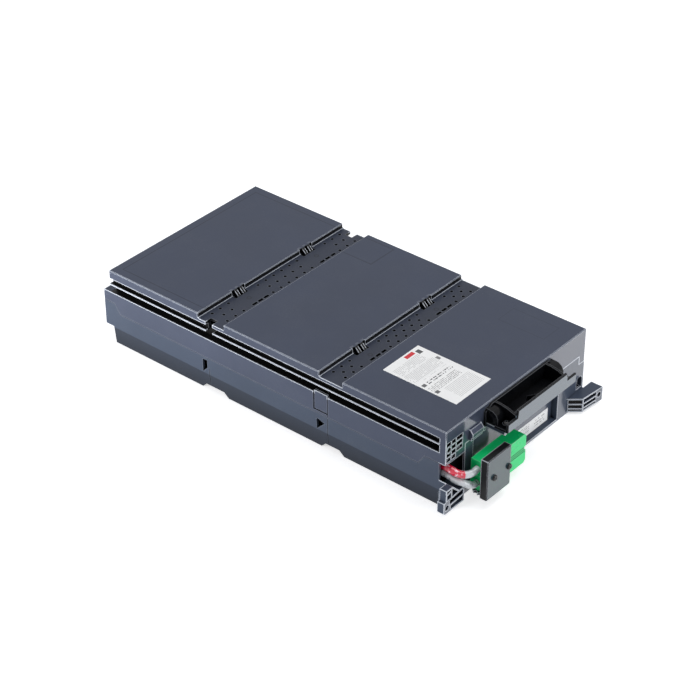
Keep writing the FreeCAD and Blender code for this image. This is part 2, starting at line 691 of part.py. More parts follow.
def battery_block(x0, x1, y, facing):
    """Sealed block with softened long edges and the seam of its lid."""
    half = BLOCK_WIDTH / 2
    block = box(x0, x1, y - half, y + half, BLOCK_FLOOR, BLOCK_CEILING)
    long_edges = edges_where(block, lambda b: b.XLength > 1)
    block = block.makeChamfer(BLOCK_ROUND / 2, long_edges)
    end = x1 if facing > 0 else x0
    seam = end - facing * BLOCK_SEAM_BACK
    depth = BLOCK_SEAM_DEPTH
    ring = box(seam - BLOCK_SEAM / 2, seam + BLOCK_SEAM / 2, y - FAR, y + FAR, 0, TOP)
    core = box(seam - BLOCK_SEAM, seam + BLOCK_SEAM, y - half + depth, y + half - depth,
               BLOCK_FLOOR + depth, BLOCK_CEILING - depth)
    return block.cut(ring.cut(core))


def tab_place(block, side):
    """Root of one tab: the middle of its foot on the block's end face."""
    x0, x1, y, facing = block_places()[block]
    return Vector(x1 if facing > 0 else x0, y + side * TAB_SPREAD, TAB_HEIGHT), facing


def tab(block, side):
    root, facing = tab_place(block, side)
    reach = facing * TAB_LENGTH
    blade = box(min(root.x, root.x + reach), max(root.x, root.x + reach),
                root.y - TAB_THICKNESS / 2, root.y + TAB_THICKNESS / 2,
                root.z - TAB_WIDTH / 2, root.z + TAB_WIDTH / 2)
    hole = facet_rod(0.9, (root.x + 0.6 * reach, root.y - 1, root.z), (0, 1, 0), 2, 6)
    return blade.cut(hole)


# ---------------------------------------------------------------- leads and jumpers
STRAIGHT = 0.001         # radians, below which two runs count as one
CHORD = math.radians(24) # largest turn between two chords of an arc


def rounded_path(points, bend):
    """Points along straight runs joined by tangent arcs, each arc in a few chords."""
    points = [Vector(*p) for p in points]
    path = [points[0]]
    for before, corner, after in zip(points, points[1:], points[2:]):
        arrive = (corner - before).normalize()
        leave = (after - corner).normalize()
        turn = arrive.getAngle(leave)
        if turn < STRAIGHT:
            continue
        room = 0.49 * min((corner - before).Length, (after - corner).Length)
        trim = min(bend * math.tan(turn / 2), room)
        radius = trim / math.tan(turn / 2)
        begin = corner - arrive * trim
        inward = (leave - arrive).normalize() * (radius / math.cos(turn / 2))
        centre = corner + inward
        spoke = begin - centre
        chords = max(2, math.ceil(turn / CHORD))
        for index in range(chords + 1):
            angle = turn * index / chords
            path.append(centre + spoke * math.cos(angle) + arrive * (radius * math.sin(angle)))
    path.append(points[-1])
    return path


def tube(points, bend, radius, sides=6):
    """Many-sided solid along a rounded path, mitred where its runs and chords meet."""
    path = rounded_path(points, bend)
    steps = [(b - a).normalize() for a, b in zip(path, path[1:])]
    across = steps[0].cross(Vector(0, 0.3, 1)).normalize()
    other = steps[0].cross(across)
    ring = []
    for index in range(sides):
        angle = 2 * math.pi * (index + 0.5) / sides
        ring.append(path[0] + (across * math.cos(angle) + other * math.sin(angle)) * radius)
    rings = [ring]
    for place, step, following in zip(path[1:], steps, steps[1:] + steps[-1:]):
        mitre = (step + following).normalize()
        ring = [p + step * ((place - p).dot(mitre) / step.dot(mitre)) for p in ring]
        rings.append(ring)
    faces = [flat_face(rings[0]), flat_face(rings[-1])]
    for near, far in zip(rings, rings[1:]):
        for index in range(sides):
            after = (index + 1) % sides
            faces.append(flat_face([near[index], near[after], far[after], far[index]]))
    solid = Part.Solid(Part.makeShell(faces))
    if solid.Volume < 0:
        solid.reverse()
    length = sum((b - a).Length for a, b in zip(path, path[1:]))
    section = sides / 2 * math.sin(2 * math.pi / sides) * radius ** 2
    print("  tube length", round(length, 1), "volume ratio", round(solid.Volume / section / length, 4))
    return solid


def flat_face(corners):
    return Part.Face(Part.makePolygon(corners + corners[:1]))


def wire_end(block, side):
    """Where the wire meets the rear face of its boot."""
    return boot_mouth(block, side, 0)


def boot_mouth(block, side, beyond):
    """A point straight out of a boot, a given distance past its end."""
    root, facing = tab_place(block, side)
    return root + Vector(facing * (BOOT_BACK + BOOT_LENGTH + beyond), 0, 0)


def boot(block, side, wire_radius):
    """Insulated push-on terminal over a tab, with the wire at its rear end."""
    root, facing = tab_place(block, side)
    near = root.x + facing * BOOT_BACK
    far = near + facing * BOOT_LENGTH
    width = max(BOOT_WIDTH, 2 * wire_radius + 1.6)
    body = box(min(near, far), max(near, far), root.y - width / 2, root.y + width / 2,
               root.z - BOOT_HEIGHT / 2, root.z + BOOT_HEIGHT / 2)
    body = body.makeChamfer(1.0, edges_where(body, lambda b: b.XLength > 1))
    slot_end = near + facing * (TAB_LENGTH - BOOT_BACK + 0.4)
    slot = box(min(near, slot_end) - 0.01, max(near, slot_end) + 0.01,
               root.y - TAB_THICKNESS / 2 - 0.1, root.y + TAB_THICKNESS / 2 + 0.1,
               root.z - TAB_WIDTH / 2 - 0.2, root.z + TAB_WIDTH / 2 + 0.2)
    return body.cut(slot)


def jumper_routes():
    """Centre lines of the five jumpers, in series order from the connector's side."""
    side_run = BLOCK_WIDTH + BLOCK_GAP / 2 + 6.5
    low = 48.0
    crossing = 40.0
    middle = sum(REAR_BAY) / 2
    return [
        [wire_end(4, 1), boot_mouth(4, 1, 11), boot_mouth(5, -1, 11), wire_end(5, -1)],
        [wire_end(5, 1), boot_mouth(5, 1, 8), Vector(FRONT_BAY[0] + 12.8, side_run, low),
         Vector(FRONT_BAY[0] - 15.2, side_run, low), Vector(REAR_BAY[1] + 8.4, side_run, low),
         Vector(REAR_BAY[1] - 15.8, side_run - 2, low), boot_mouth(3, 1, 6), wire_end(3, 1)],
        [wire_end(3, -1), boot_mouth(3, -1, 3), boot_mouth(3, -1, 10) - Vector(0, 0, 6),
         boot_mouth(1, -1, 3), wire_end(1, -1)],
        [wire_end(1, 1), boot_mouth(1, 1, 7), Vector(middle, 62, crossing),
         Vector(middle, -8, crossing), boot_mouth(0, 1, 7), wire_end(0, 1)],
        [wire_end(0, -1), boot_mouth(0, -1, 3), boot_mouth(0, -1, 10) - Vector(0, 0, 6),
         boot_mouth(2, -1, 3), wire_end(2, -1)],
    ]


def lead_routes():
    """Centre lines of the positive and the negative lead, from battery to connector."""
    high = LEAD_HEIGHT + LEAD_SPACING
    out = -LEAD_OUT
    contact = CONNECTOR_LEFT + CONTACT_GAP
    upper_pole = CONNECTOR_BASE + 1.5 * POLE_SIZE
    lower_pole = CONNECTOR_BASE + 0.5 * POLE_SIZE
    positive = [
        wire_end(4, -1), boot_mouth(4, -1, 9), (FRONT_BAY[0] + 18.8, out, high + 6), (FRONT_BAY[1] + 6.4, out, high),
        (FRONT_BAY[1] + BLOCK_LENGTH / 2, out, high), (FRONT - 5, out, high), (FRONT + 4, out + 0.5, high - 2.6),
        (FRONT + 10, out + 5, high - 5), (CONNECTOR_X, out + 12, upper_pole - 0.8),
        (CONNECTOR_X, CONNECTOR_LEFT - 1, upper_pole), (CONNECTOR_X, contact, upper_pole),
    ]
    negative = [
        wire_end(2, 1), boot_mouth(2, 1, 8), (REAR_BAY[1] - 17.6, -58, LEAD_HEIGHT + 14),
        (REAR_BAY[1] - 15.6, out + 2, LEAD_HEIGHT + 2), (REAR_BAY[1] + 13.2, out, LEAD_HEIGHT),
        (REAR_BAY[1] + BLOCK_LENGTH / 2, out, LEAD_HEIGHT), (FRONT_BAY[1] - 5.6, out, LEAD_HEIGHT),
        (FRONT - 6, out, LEAD_HEIGHT), (FRONT + 3, out + 1.2, LEAD_HEIGHT - 4.2),
        (FRONT + 9, out + 5.5, LEAD_HEIGHT - 7), (FRONT + 13, out + 12, lower_pole + 1.4),
        (CONNECTOR_X, CONNECTOR_LEFT - 2, lower_pole), (CONNECTOR_X, contact, lower_pole),
    ]
    return positive, negative


def sleeve(route, keep):
    """Hollow sleeve round a lead, over the part of its route inside the box keep."""
    inner = LEAD_DIAMETER / 2 + SLEEVE_CLEARANCE
    outer = LEAD_DIAMETER / 2 + SLEEVE_WALL + SLEEVE_CLEARANCE
    jacket = tube(route, LEAD_BEND, outer, LEAD_SIDES).cut(tube(route, LEAD_BEND, inner, LEAD_SIDES))
    return jacket.common(keep)


# ---------------------------------------------------------------- connector
def pole_housing(level):
    """One housing of the pair; level 0 is the lower one."""
    z0 = CONNECTOR_BASE + level * POLE_SIZE
    z1 = z0 + POLE_SIZE
    x0 = CONNECTOR_FRONT - POLE_SIZE
    c = POLE_CHAMFER
    outline = [(CONNECTOR_LEFT, z0), (CONNECTOR_END - c, z0), (CONNECTOR_END, z0 + c),
               (CONNECTOR_END, z1 - c), (CONNECTOR_END - c, z1), (CONNECTOR_LEFT, z1)]
    body = along_x(outline, x0, CONNECTOR_FRONT)
    seam = z0 if level else z1
    away = 1 if level else -1
    tools = []
    for index in range(2 - level):
        z = seam + away * (1.2 + 2.2 * index)
        tools.append(box(CONNECTOR_FRONT - POLE_GROOVE, CONNECTOR_FRONT + 1, PLATE_RIGHT - 6,
                         CONNECTOR_END + 1, z - POLE_GROOVE / 2, z + POLE_GROOVE / 2))
    middle = (z0 + z1) / 2
    mouth = POLE_SIZE / 2 - MOUTH_WALL
    tools.append(box(CONNECTOR_X - mouth, CONNECTOR_X + mouth, CONNECTOR_END - MOUTH_DEPTH,
                     CONNECTOR_END + 1, middle - mouth, middle + mouth))
    throat = (CONNECTOR_X, CONNECTOR_LEFT - 1, middle)
    tools.append(facet_rod(LEAD_DIAMETER / 2 + THROAT_CLEARANCE, throat, (0, 1, 0), CONTACT_GAP + 2, 12))
    barrel = (CONNECTOR_X, CONNECTOR_LEFT + CONTACT_GAP, middle)
    tools.append(facet_rod(CONTACT_RADIUS, barrel, (0, 1, 0), POLE_LENGTH - CONTACT_GAP - MOUTH_DEPTH + 1, 12))
    if level:
        for y in plate_screw_places():
            tip = (CONNECTOR_FRONT - PLATE_SCREW_DEPTH, y, PLATE_SCREW_HEIGHT)
            tools.append(facet_rod(SCREW_RADIUS, tip, (1, 0, 0), FAR))
    return body.cut(tools)


def contact(level):
    """Crimped contact: round barrel on the lead, flat blade along one side of the mouth."""
    z = CONNECTOR_BASE + (level + 0.5) * POLE_SIZE
    y0 = CONNECTOR_LEFT + CONTACT_GAP
    mouth_floor = CONNECTOR_END - MOUTH_DEPTH
    barrel = facet_rod(CONTACT_RADIUS, (CONNECTOR_X, y0, z), (0, 1, 0), mouth_floor - y0, 12)
    blade_x = CONNECTOR_X - CONTACT_RADIUS
    blade = box(blade_x, blade_x + BLADE_THICKNESS, mouth_floor, CONNECTOR_END - MOUTH_WALL,
                z - BLADE_WIDTH / 2, z + BLADE_WIDTH / 2)
    return barrel.fuse(blade).removeSplitter()


def plate_screw_places():
    middle = (PLATE_LEFT + PLATE_RIGHT) / 2 + 3.3
    return [middle - PLATE_SCREW_SPACING / 2, middle + PLATE_SCREW_SPACING / 2]


def pan_screw(head_seat, axis, shank):
    """Pan-head screw: seat point, direction that the head faces, shank length."""
    direction = Vector(*axis)
    seat = Vector(*head_seat)
    stem = facet_rod(SCREW_RADIUS, seat - direction * shank, axis, shank)
    rim = SCREW_HEAD_HEIGHT / 2
    skirt = facet_rod(SCREW_HEAD_RADIUS, seat, axis, rim, 16)
    crown_radius = SCREW_HEAD_RADIUS - SCREW_HEAD_SLOPE
    crown = facet_rod(crown_radius, seat + direction * rim, axis, SCREW_HEAD_HEIGHT - rim, 16)
    slope = Part.makeLoft([skirt.Faces[-1].OuterWire, crown.Faces[-1].OuterWire], True, True)
    return stem.fuse([skirt, slope]).removeSplitter()


def connector_bracket():
    """Bent bracket: thick front plate, shelf below the housings, flange on the recess panel."""
    x1 = CONNECTOR_FRONT + PLATE_THICKNESS
    plate = box(CONNECTOR_FRONT, x1, PLATE_LEFT, PLATE_RIGHT, PLATE_BOTTOM, PLATE_TOP)
    front_rim = edges_where(plate, lambda b: b.XMin > x1 - 0.01)
    plate = plate.makeChamfer(0.8, front_rim)
    top = CONNECTOR_BASE
    low = top - SHELF_THICKNESS
    left = PLATE_LEFT + SHELF_INSET
    right = PLATE_RIGHT - SHELF_INSET / 2
    inset = -FRONT_POCKET_LEFT + 0.4
    plan = [(CONNECTOR_FRONT + 2, right), (PANEL, right), (PANEL, inset), (FRONT + 0.2, inset),
            (FRONT + 0.2, inset - 4), (FRONT + 6, inset - 4), (FRONT + 8, inset - 7),
            (FRONT + 8, left + 4), (FRONT + 12, left), (CONNECTOR_FRONT + 2, left)]
    shelf = along_z(plan, low, top)
    scallops = [rod(2.0, (FRONT + 14 + 5 * index, left, low - 1), (0, 0, 1), 6) for index in (0, 1)]
    shelf = shelf.cut(scallops)
    flange = box(PANEL, PANEL + WALL, inset, right, low, top + FLANGE_RISE)
    bracket = union([plate, shelf, flange])
    bores = [facet_rod(SCREW_RADIUS, (CONNECTOR_FRONT - 1, y, PLATE_SCREW_HEIGHT), (1, 0, 0), FAR)
             for y in plate_screw_places()]
    bores += [facet_rod(SCREW_RADIUS, (PANEL - 1, y, z), (1, 0, 0), 2 * WALL)
              for y, z in panel_screw_places()]
    return bracket.cut(bores)


# ---------------------------------------------------------------- handle
def handle():
    """Pull handle: a rimmed cup between two arms on a flange against the front wall."""
    front = HANDLE_FRONT
    skin = HANDLE_SKIN
    grip = HANDLE_GRIP_HALF
    bottom = HANDLE_BOTTOM
    cut = HANDLE_SHOULDER_CUT
    fall = HANDLE_SHOULDER_FALL
    corner = [(HANDLE_HALF - cut, HANDLE_TOP), (HANDLE_HALF - 2 * cut / 3, HANDLE_TOP - 0.36 * fall),
              (HANDLE_HALF, HANDLE_TOP - fall), (HANDLE_HALF, bottom - HANDLE_FLANGE_DROP)]
    flange = along_x(corner + [(-y, z) for y, z in reversed(corner)], FRONT, FRONT + HANDLE_FLANGE)
    plate = along_x([(-HANDLE_HALF, bottom), (-HANDLE_HALF, HANDLE_SHOULDER), (-grip - 1.2, HANDLE_SHOULDER),
                     (-grip, HANDLE_TOP), (grip, HANDLE_TOP), (grip + 1.2, HANDLE_SHOULDER),
                     (HANDLE_HALF, HANDLE_SHOULDER), (HANDLE_HALF, bottom)], front - skin, front)
    plate = plate.makeChamfer(0.7, edges_where(plate, on_plate_rim))
    floor = box(FRONT, front - skin / 2, -grip, grip, bottom, bottom + skin)
    lip_x = front - skin - GRIP_CHANNEL
    lip = box(lip_x - 1.4, lip_x, -grip, grip, bottom, bottom + skin + GRIP_LIP)
    rib = along_y([(front - skin - GRIP_RIB, bottom), (front - skin / 2, bottom), (front - skin / 2, arm_point(1, 0.76)[1]),
                   (front - skin - GRIP_CHANNEL, arm_point(1, 0.68)[1]),
                   (front - skin - GRIP_RIB, arm_point(1, 0.3)[1])], -0.7, 0.7)
    pieces = [flange, plate, floor, lip, rib]
    for side in (-1, 1):
        pieces += handle_arm(side)
    solid = union(pieces)
    tools = []
    for side in (-1, 1):
        y = side * HANDLE_SCREW_OUT
        lug_half = LUG_HALF + LUG_CLEARANCE
        tools.append(facet_rod(SCREW_RADIUS, (HANDLE_SCREW_X, y, bottom - 1), (0, 0, 1), FAR))
        tools.append(box(FRONT, FRONT + HANDLE_FLANGE, y - lug_half, y + lug_half, 0, bottom))
    return solid.cut(tools)


def arm_point(along, up):
    """A point of the arms' side outline, as shares of the handle's reach and height."""
    return FRONT + along * HANDLE_REACH, HANDLE_BOTTOM + up * (HANDLE_TOP - HANDLE_BOTTOM)


def on_plate_rim(b):
    return b.XMin > HANDLE_FRONT - 0.01


def handle_arm(side):
    """Arm at one end of the cup: curved web, hollow shoulder and screw boss."""
    front = HANDLE_FRONT
    skin = HANDLE_SKIN
    grip = HANDLE_GRIP_HALF
    bottom = HANDLE_BOTTOM
    inside = bottom - skin
    web_outline = [(FRONT, bottom), arm_point(0, 0.98), arm_point(0.3, 0.98), arm_point(0.6, 0.9),
                   (front - skin / 2, arm_point(1, 0.7)[1]), (front - skin / 2, bottom)]
    shoulder_outline = [(FRONT, bottom), arm_point(0, 0.88), arm_point(0.3, 0.85), arm_point(0.44, 0.7),
                        arm_point(0.52, 0.47), arm_point(0.52, 0)]
    hollow_outline = [(FRONT + skin, inside), (FRONT + skin, arm_point(0, 0.68)[1]), arm_point(0.26, 0.68),
                      arm_point(0.41, 0.47), (arm_point(0.41, 0)[0], inside)]
    low, high = sorted((side * grip, side * (grip + skin)))
    web = along_y(web_outline, low, high)
    low, high = sorted((side * grip, side * (grip + ARM_WIDTH)))
    shoulder = along_y(shoulder_outline, low, high)
    low, high = sorted((side * (grip + skin), side * (grip + ARM_WIDTH - skin)))
    shoulder = shoulder.cut(along_y(hollow_outline, low, high))
    low, high = sorted((side * grip, side * HANDLE_HALF))
    ledge = box(FRONT + ARM_LENGTH - 1, front - skin / 2, low, high, bottom, bottom + skin)
    boss = rod(HANDLE_BOSS_RADIUS, (HANDLE_SCREW_X, side * HANDLE_SCREW_OUT, bottom), (0, 0, 1),
               skin + HANDLE_BOSS_HEIGHT)
    return [web, shoulder, ledge, boss]


# ---------------------------------------------------------------- pads and labels
def base_pads():
    """One foam pad under each block, a margin in from its edges."""
    shapes = []
    half = BLOCK_WIDTH / 2 - BASE_PAD_MARGIN
    for x0, x1, y, facing in block_places():
        shapes.append(box(x0 + BASE_PAD_MARGIN, x1 - BASE_PAD_MARGIN, y - half, y + half, WALL, BLOCK_FLOOR))
    return shapes


def top_pads():
    """One foam pad on each block, below the lid over it."""
    shapes = []
    half = BLOCK_WIDTH / 2 - TOP_PAD_MARGIN
    for index, (x0, x1, y, facing) in enumerate(block_places()):
        behind, ahead = LIDS[index // 2]
        shapes.append(box(behind + TOP_PAD_END, ahead - TOP_PAD_END, y - half, y + half, BLOCK_CEILING, TOP - WALL))
    return shapes


def rating_label():
    return box(LID_3[0] + RATING_LABEL_BEHIND, FRONT - RATING_LABEL_AHEAD, RATING_LABEL_LEFT,
               RATING_LABEL_LEFT + RATING_LABEL_WIDTH, TOP, TOP + LABEL_THICKNESS)


def front_label():
    return box(PANEL, PANEL + LABEL_THICKNESS, 0, FRONT_LABEL_WIDTH, FRONT_LABEL_FOOT, FRONT_LABEL_FOOT + FRONT_LABEL_HEIGHT)


# ---------------------------------------------------------------- the nodes
def main():
    save("top_cover", [top_cover()])
    save("lower_tray", [lower_tray()])
    for index, place in enumerate(block_places()):
        save("battery_" + str(index + 1), [battery_block(*place)])
    ends = [(block, side) for block in range(6) for side in (-1, 1)]
    save("battery_terminals", [tab(block, side) for block, side in ends])
    heavy = [(4, -1), (2, 1)]
    boots = [boot(block, side, (LEAD_DIAMETER if (block, side) in heavy else JUMPER_DIAMETER) / 2)
             for block, side in ends]
    save("wire_terminals", boots)
    for index, route in enumerate(jumper_routes()):
        save("jumper_lead_" + str(index + 1), [tube(route, JUMPER_BEND, JUMPER_DIAMETER / 2)])
    fuse_start = (sum(REAR_BAY) / 2, 10.0, 40.0)
    fuse = facet_rod(FUSE_RADIUS, fuse_start, (0, 1, 0), FUSE_LENGTH, 12)
    core = facet_rod(JUMPER_DIAMETER / 2 + THROAT_CLEARANCE, fuse_start, (0, 1, 0), FUSE_LENGTH)
    save("inline_fuse", [fuse.cut(core)])
    positive, negative = lead_routes()
    save("positive_lead", [tube(positive, LEAD_BEND, LEAD_DIAMETER / 2, LEAD_SIDES)])
    save("negative_lead", [tube(negative, LEAD_BEND, LEAD_DIAMETER / 2, LEAD_SIDES)])
    ahead = [(FRONT - 12, -FAR), (FAR, -FAR), (FAR, CONNECTOR_LEFT - 0.4), (FRONT - 12, CONNECTOR_LEFT - 0.4)]
    split = [(FRONT - 12, -FAR), (MARKER_END + FAR, -FAR), (FRONT - 12, MARKER_END - FRONT + 12)]
    save("negative_sleeve", [sleeve(negative, along_z(ahead, 0, TOP))])
    save("positive_marker", [sleeve(positive, along_z(split, 0, TOP))])
    rest = along_z(ahead, 0, TOP).cut(along_z(split, 0, TOP))
    save("positive_sleeve", [sleeve(positive, rest)])
    save("connector_housing_lower", [pole_housing(0)])
    save("connector_housing_upper", [pole_housing(1)])
    save("connector_contacts", [contact(0), contact(1)])
    save("connector_bracket", [connector_bracket()])
    plate_front = CONNECTOR_FRONT + PLATE_THICKNESS
    screws = [pan_screw((plate_front, y, PLATE_SCREW_HEIGHT), (1, 0, 0), PLATE_THICKNESS + PLATE_SCREW_DEPTH)
              for y in plate_screw_places()]
    screws += [pan_screw((PANEL + WALL, y, z), (1, 0, 0), 2 * WALL) for y, z in panel_screw_places()]
    save("bracket_screws", screws)
    save("handle", [handle()])
    seat = HANDLE_BOTTOM + HANDLE_SKIN + HANDLE_BOSS_HEIGHT
    shank = HANDLE_SKIN + HANDLE_BOSS_HEIGHT + LUG_THICKNESS
    save("handle_screws", [pan_screw((HANDLE_SCREW_X, side * HANDLE_SCREW_OUT, seat), (0, 0, 1), shank)
                           for side in (-1, 1)])
    save("rating_label", [rating_label()])
    save("front_label", [front_label()])
    save("base_pads", base_pads())
    save("top_pads", top_pads())


main()
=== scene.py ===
"""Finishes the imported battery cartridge: its surfaces, leads, screws, labels, stage and camera."""

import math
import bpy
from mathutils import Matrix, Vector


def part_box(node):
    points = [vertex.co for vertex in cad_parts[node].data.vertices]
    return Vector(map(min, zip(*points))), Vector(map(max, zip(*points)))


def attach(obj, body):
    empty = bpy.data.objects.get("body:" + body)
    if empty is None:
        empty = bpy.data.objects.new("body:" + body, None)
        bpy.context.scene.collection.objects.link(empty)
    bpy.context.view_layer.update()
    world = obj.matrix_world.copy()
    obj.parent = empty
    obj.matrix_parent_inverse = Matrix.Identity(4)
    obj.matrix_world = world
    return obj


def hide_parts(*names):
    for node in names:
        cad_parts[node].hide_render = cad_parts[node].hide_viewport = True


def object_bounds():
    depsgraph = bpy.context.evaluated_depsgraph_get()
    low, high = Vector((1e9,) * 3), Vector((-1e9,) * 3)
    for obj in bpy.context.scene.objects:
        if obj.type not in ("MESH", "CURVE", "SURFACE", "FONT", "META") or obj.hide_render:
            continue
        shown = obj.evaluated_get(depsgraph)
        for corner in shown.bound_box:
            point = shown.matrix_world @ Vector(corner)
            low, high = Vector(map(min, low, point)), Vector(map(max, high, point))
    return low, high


bl_info = {
    "name": "Battery cartridge",
    "version": (1, 0, 0),
    "blender": (4, 5, 0),
    "location": "3D View > Sidebar > Cartridge",
    "description": "Builds the surfaces and small pieces of a rack battery cartridge on its packed frame",
    "category": "Object",
}

import bmesh
import bpy
from bpy.props import FloatProperty, FloatVectorProperty, PointerProperty
from mathutils import Vector

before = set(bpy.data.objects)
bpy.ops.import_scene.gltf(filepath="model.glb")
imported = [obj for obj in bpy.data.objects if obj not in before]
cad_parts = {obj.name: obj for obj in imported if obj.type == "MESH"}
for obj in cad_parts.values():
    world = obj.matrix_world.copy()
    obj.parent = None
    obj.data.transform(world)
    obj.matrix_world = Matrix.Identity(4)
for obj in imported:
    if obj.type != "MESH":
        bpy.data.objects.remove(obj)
CAD_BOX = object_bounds()
MM = 0.001


# ---------------------------------------------------------------- places on the case, in millimetres
# A zone is a box: its limits in x, in distance from the middle plane, and in z. It holds on both sides.
VALLEYS = ((-88.7, -56.1), (60.7, 87.9))  # x of each valley, from the lid behind it to the lid in front
CLIP = 49.2                               # distance of the clips from the middle plane
EAR_LEVELS = ((3.95, 5.65), (6.95, 10.65), (11.95, 16.25))  # z of the cells in the right ear
FOOT_LEVELS = ((5.9, 17.5), (17.8, 28.5))                   # z of the cells in the left foot
SEAM_LEVELS = (28.7, 26.3, 24.1)          # z of the grooves along the connector's seam
TRAY_FRONT = 199.0                        # x where the tray's side walls end
TRAY_FOLD = 19.0                          # z of the fold that runs round the tray

# Shade zones: painted shade, laid near black in the side groove, a notch, the corner lattice's cells, the
# lids' front walls, the clips and the holes in the valleys' floors
COVER_SHADE_ZONES = (
    (-205.9, 198.6, 97.9, 105.6, 59.2, 74.9),  # side groove
    (-79.1, -70.3, 97.9, 105.9, 59.2, 84.1),   # notch beside the rear valley
    (190.0, 205.7, 81.5, 105.2, 50.0, 83.2),   # cells of the corner lattice
    *((rear - 0.6, rear + 0.8, 0.0, 105.3, 79.5, 83.4) for rear, _ in VALLEYS),  # lids' front walls
    *((rear - 6.0, rear + 6.5, CLIP - 9.0, CLIP + 9.0, 78.5, 83.9) for rear, _ in VALLEYS),  # clips
    *((rear, ahead, 0.0, 103.0, 60.0, 78.25) for rear, ahead in VALLEYS),  # holes in the floors
)
# Plain zones, where the painted edge highlight is mostly left off
COVER_PLAIN = (
    (-215.0, 198.0, 0.0, 107.0, 30.0, 57.5),   # walls below the side groove
    *((rear - 0.5, ahead + 0.5, 0.0, 103.0, 60.0, 79.2) for rear, ahead in VALLEYS),  # valleys' floors
    *((rear - 6.0, rear + 0.6, CLIP - 9.0, CLIP + 9.0, 78.5, 84.2) for rear, _ in VALLEYS),  # edge at a clip
)
# Painted shade on the valleys' floors
COVER_SHADED = tuple((rear, ahead, 0.0, 107.0, 78.2, 79.0) for rear, ahead in VALLEYS)
# Shade zones of the tray: painted shade, laid near black in the cells of the right ear and the left foot
TRAY_SHADE_ZONES = (
    *((206.7, 216.4, 80.6, 90.3, low, high) for low, high in EAR_LEVELS),    # cells at the ear's root
    *((206.5, 213.5, 91.5, 109.7, low, high) for low, high in EAR_LEVELS),   # cells along its arm
    *((208.5, 209.6, 98.0, 114.3, low, high) for low, high in FOOT_LEVELS),  # backs of the foot's cells
)
TRAY_CLEAR = ((199.5, 206.5, 0.0, 65.0, -1.0, 2.6),)            # sill under the front label, kept free of the painted shade in hollows
TRAY_PLAIN = ((-215.0, TRAY_FRONT, 0.0, 107.0, -1.0, 60.0),)    # side and rear walls, where little painted edge highlight is laid
# Painted shade: dark bands laid in the grooves along the connector's seam
SEAM_SHADE_ZONES = tuple((226.8, 227.95, 15.0, 60.0, z - 0.36, z + 0.36) for z in SEAM_LEVELS)

LID_FRAMES = (  # centre x and y, half length and half width, line width, strength
    (-143.0, 0.0, 53.5, 96.0, 1.1, 0.8),
    (-37.0, 82.0, 18.5, 17.5, 1.6, 0.6),
    (160.0, 78.0, 26.0, 12.0, 1.0, 0.3),
)
LID_RINGS = (-75.0, 74.0)  # x of the small rings beside the clips
RING_RADIUS, RING_LINE = 2.0, 1.4

POSITIVE = (
    (78.1, -72.5, 65.4), (69.1, -72.5, 65.4), (72.6, -97.0, 45.8), (100.0, -97.0, 39.8),
    (144.1, -97.0, 39.8), (201.0, -97.0, 39.8), (210.0, -96.5, 37.2), (216.0, -92.0, 34.8),
    (220.0, -85.0, 34.7), (220.0, -78.0, 35.5), (220.0, -69.0, 35.5),
)
NEGATIVE = (
    (-62.7, -18.5, 65.4), (-70.7, -18.5, 65.4), (-64.8, -58.0, 46.6), (-62.8, -95.0, 34.6),
    (-34.0, -97.0, 32.6), (3.3, -97.0, 32.6), (88.0, -97.0, 32.6), (200.0, -97.0, 32.6),
    (209.0, -95.8, 28.4), (215.0, -91.5, 25.6), (219.0, -85.0, 20.9), (220.0, -79.0, 19.5),
    (220.0, -69.0, 19.5),
)
SLEEVES_START = 194.0   # x where the sleeves leave the tray
SLEEVES_STOP = -77.4    # y where they meet the connector
MARKER_STOP = 124.5     # x + y where the red marker gives way to the grey sleeve

PLATE_SCREWS = ((-74.2, 31.6), (-52.7, 31.6))    # y and z, on the front of the bracket
FLANGE_SCREWS = ((-54.9, 18.9), (-60.6, 18.9))   # y and z, on the rear flange of the bracket
FLANGE = 201.8          # x of that flange's front face
HANDLE_SCREWS = ((225.8, -45.0, 69.6), (225.8, 45.0, 69.6))
HEAD_RADIUS = 3.0
HEAD_HEIGHT = 2.2


# ---------------------------------------------------------------- values a user may change
def linear(red, green, blue):
    """A colour given as screen values 0 to 255, in the linear values that shading works with."""
    return tuple(
        c / 12.92 if c <= 0.04045 else ((c + 0.055) / 1.055) ** 2.4
        for c in (red / 255, green / 255, blue / 255)
    )


def colour(name, description, *screen):
    return FloatVectorProperty(
        name=name, description=description, subtype="COLOR", size=3, min=0.0, max=1.0, default=linear(*screen)
    )


def length(name, description, millimetres):
    return FloatProperty(
        name=name, description=description, default=millimetres * MM, min=0.0,
        subtype="DISTANCE", unit="LENGTH"
    )


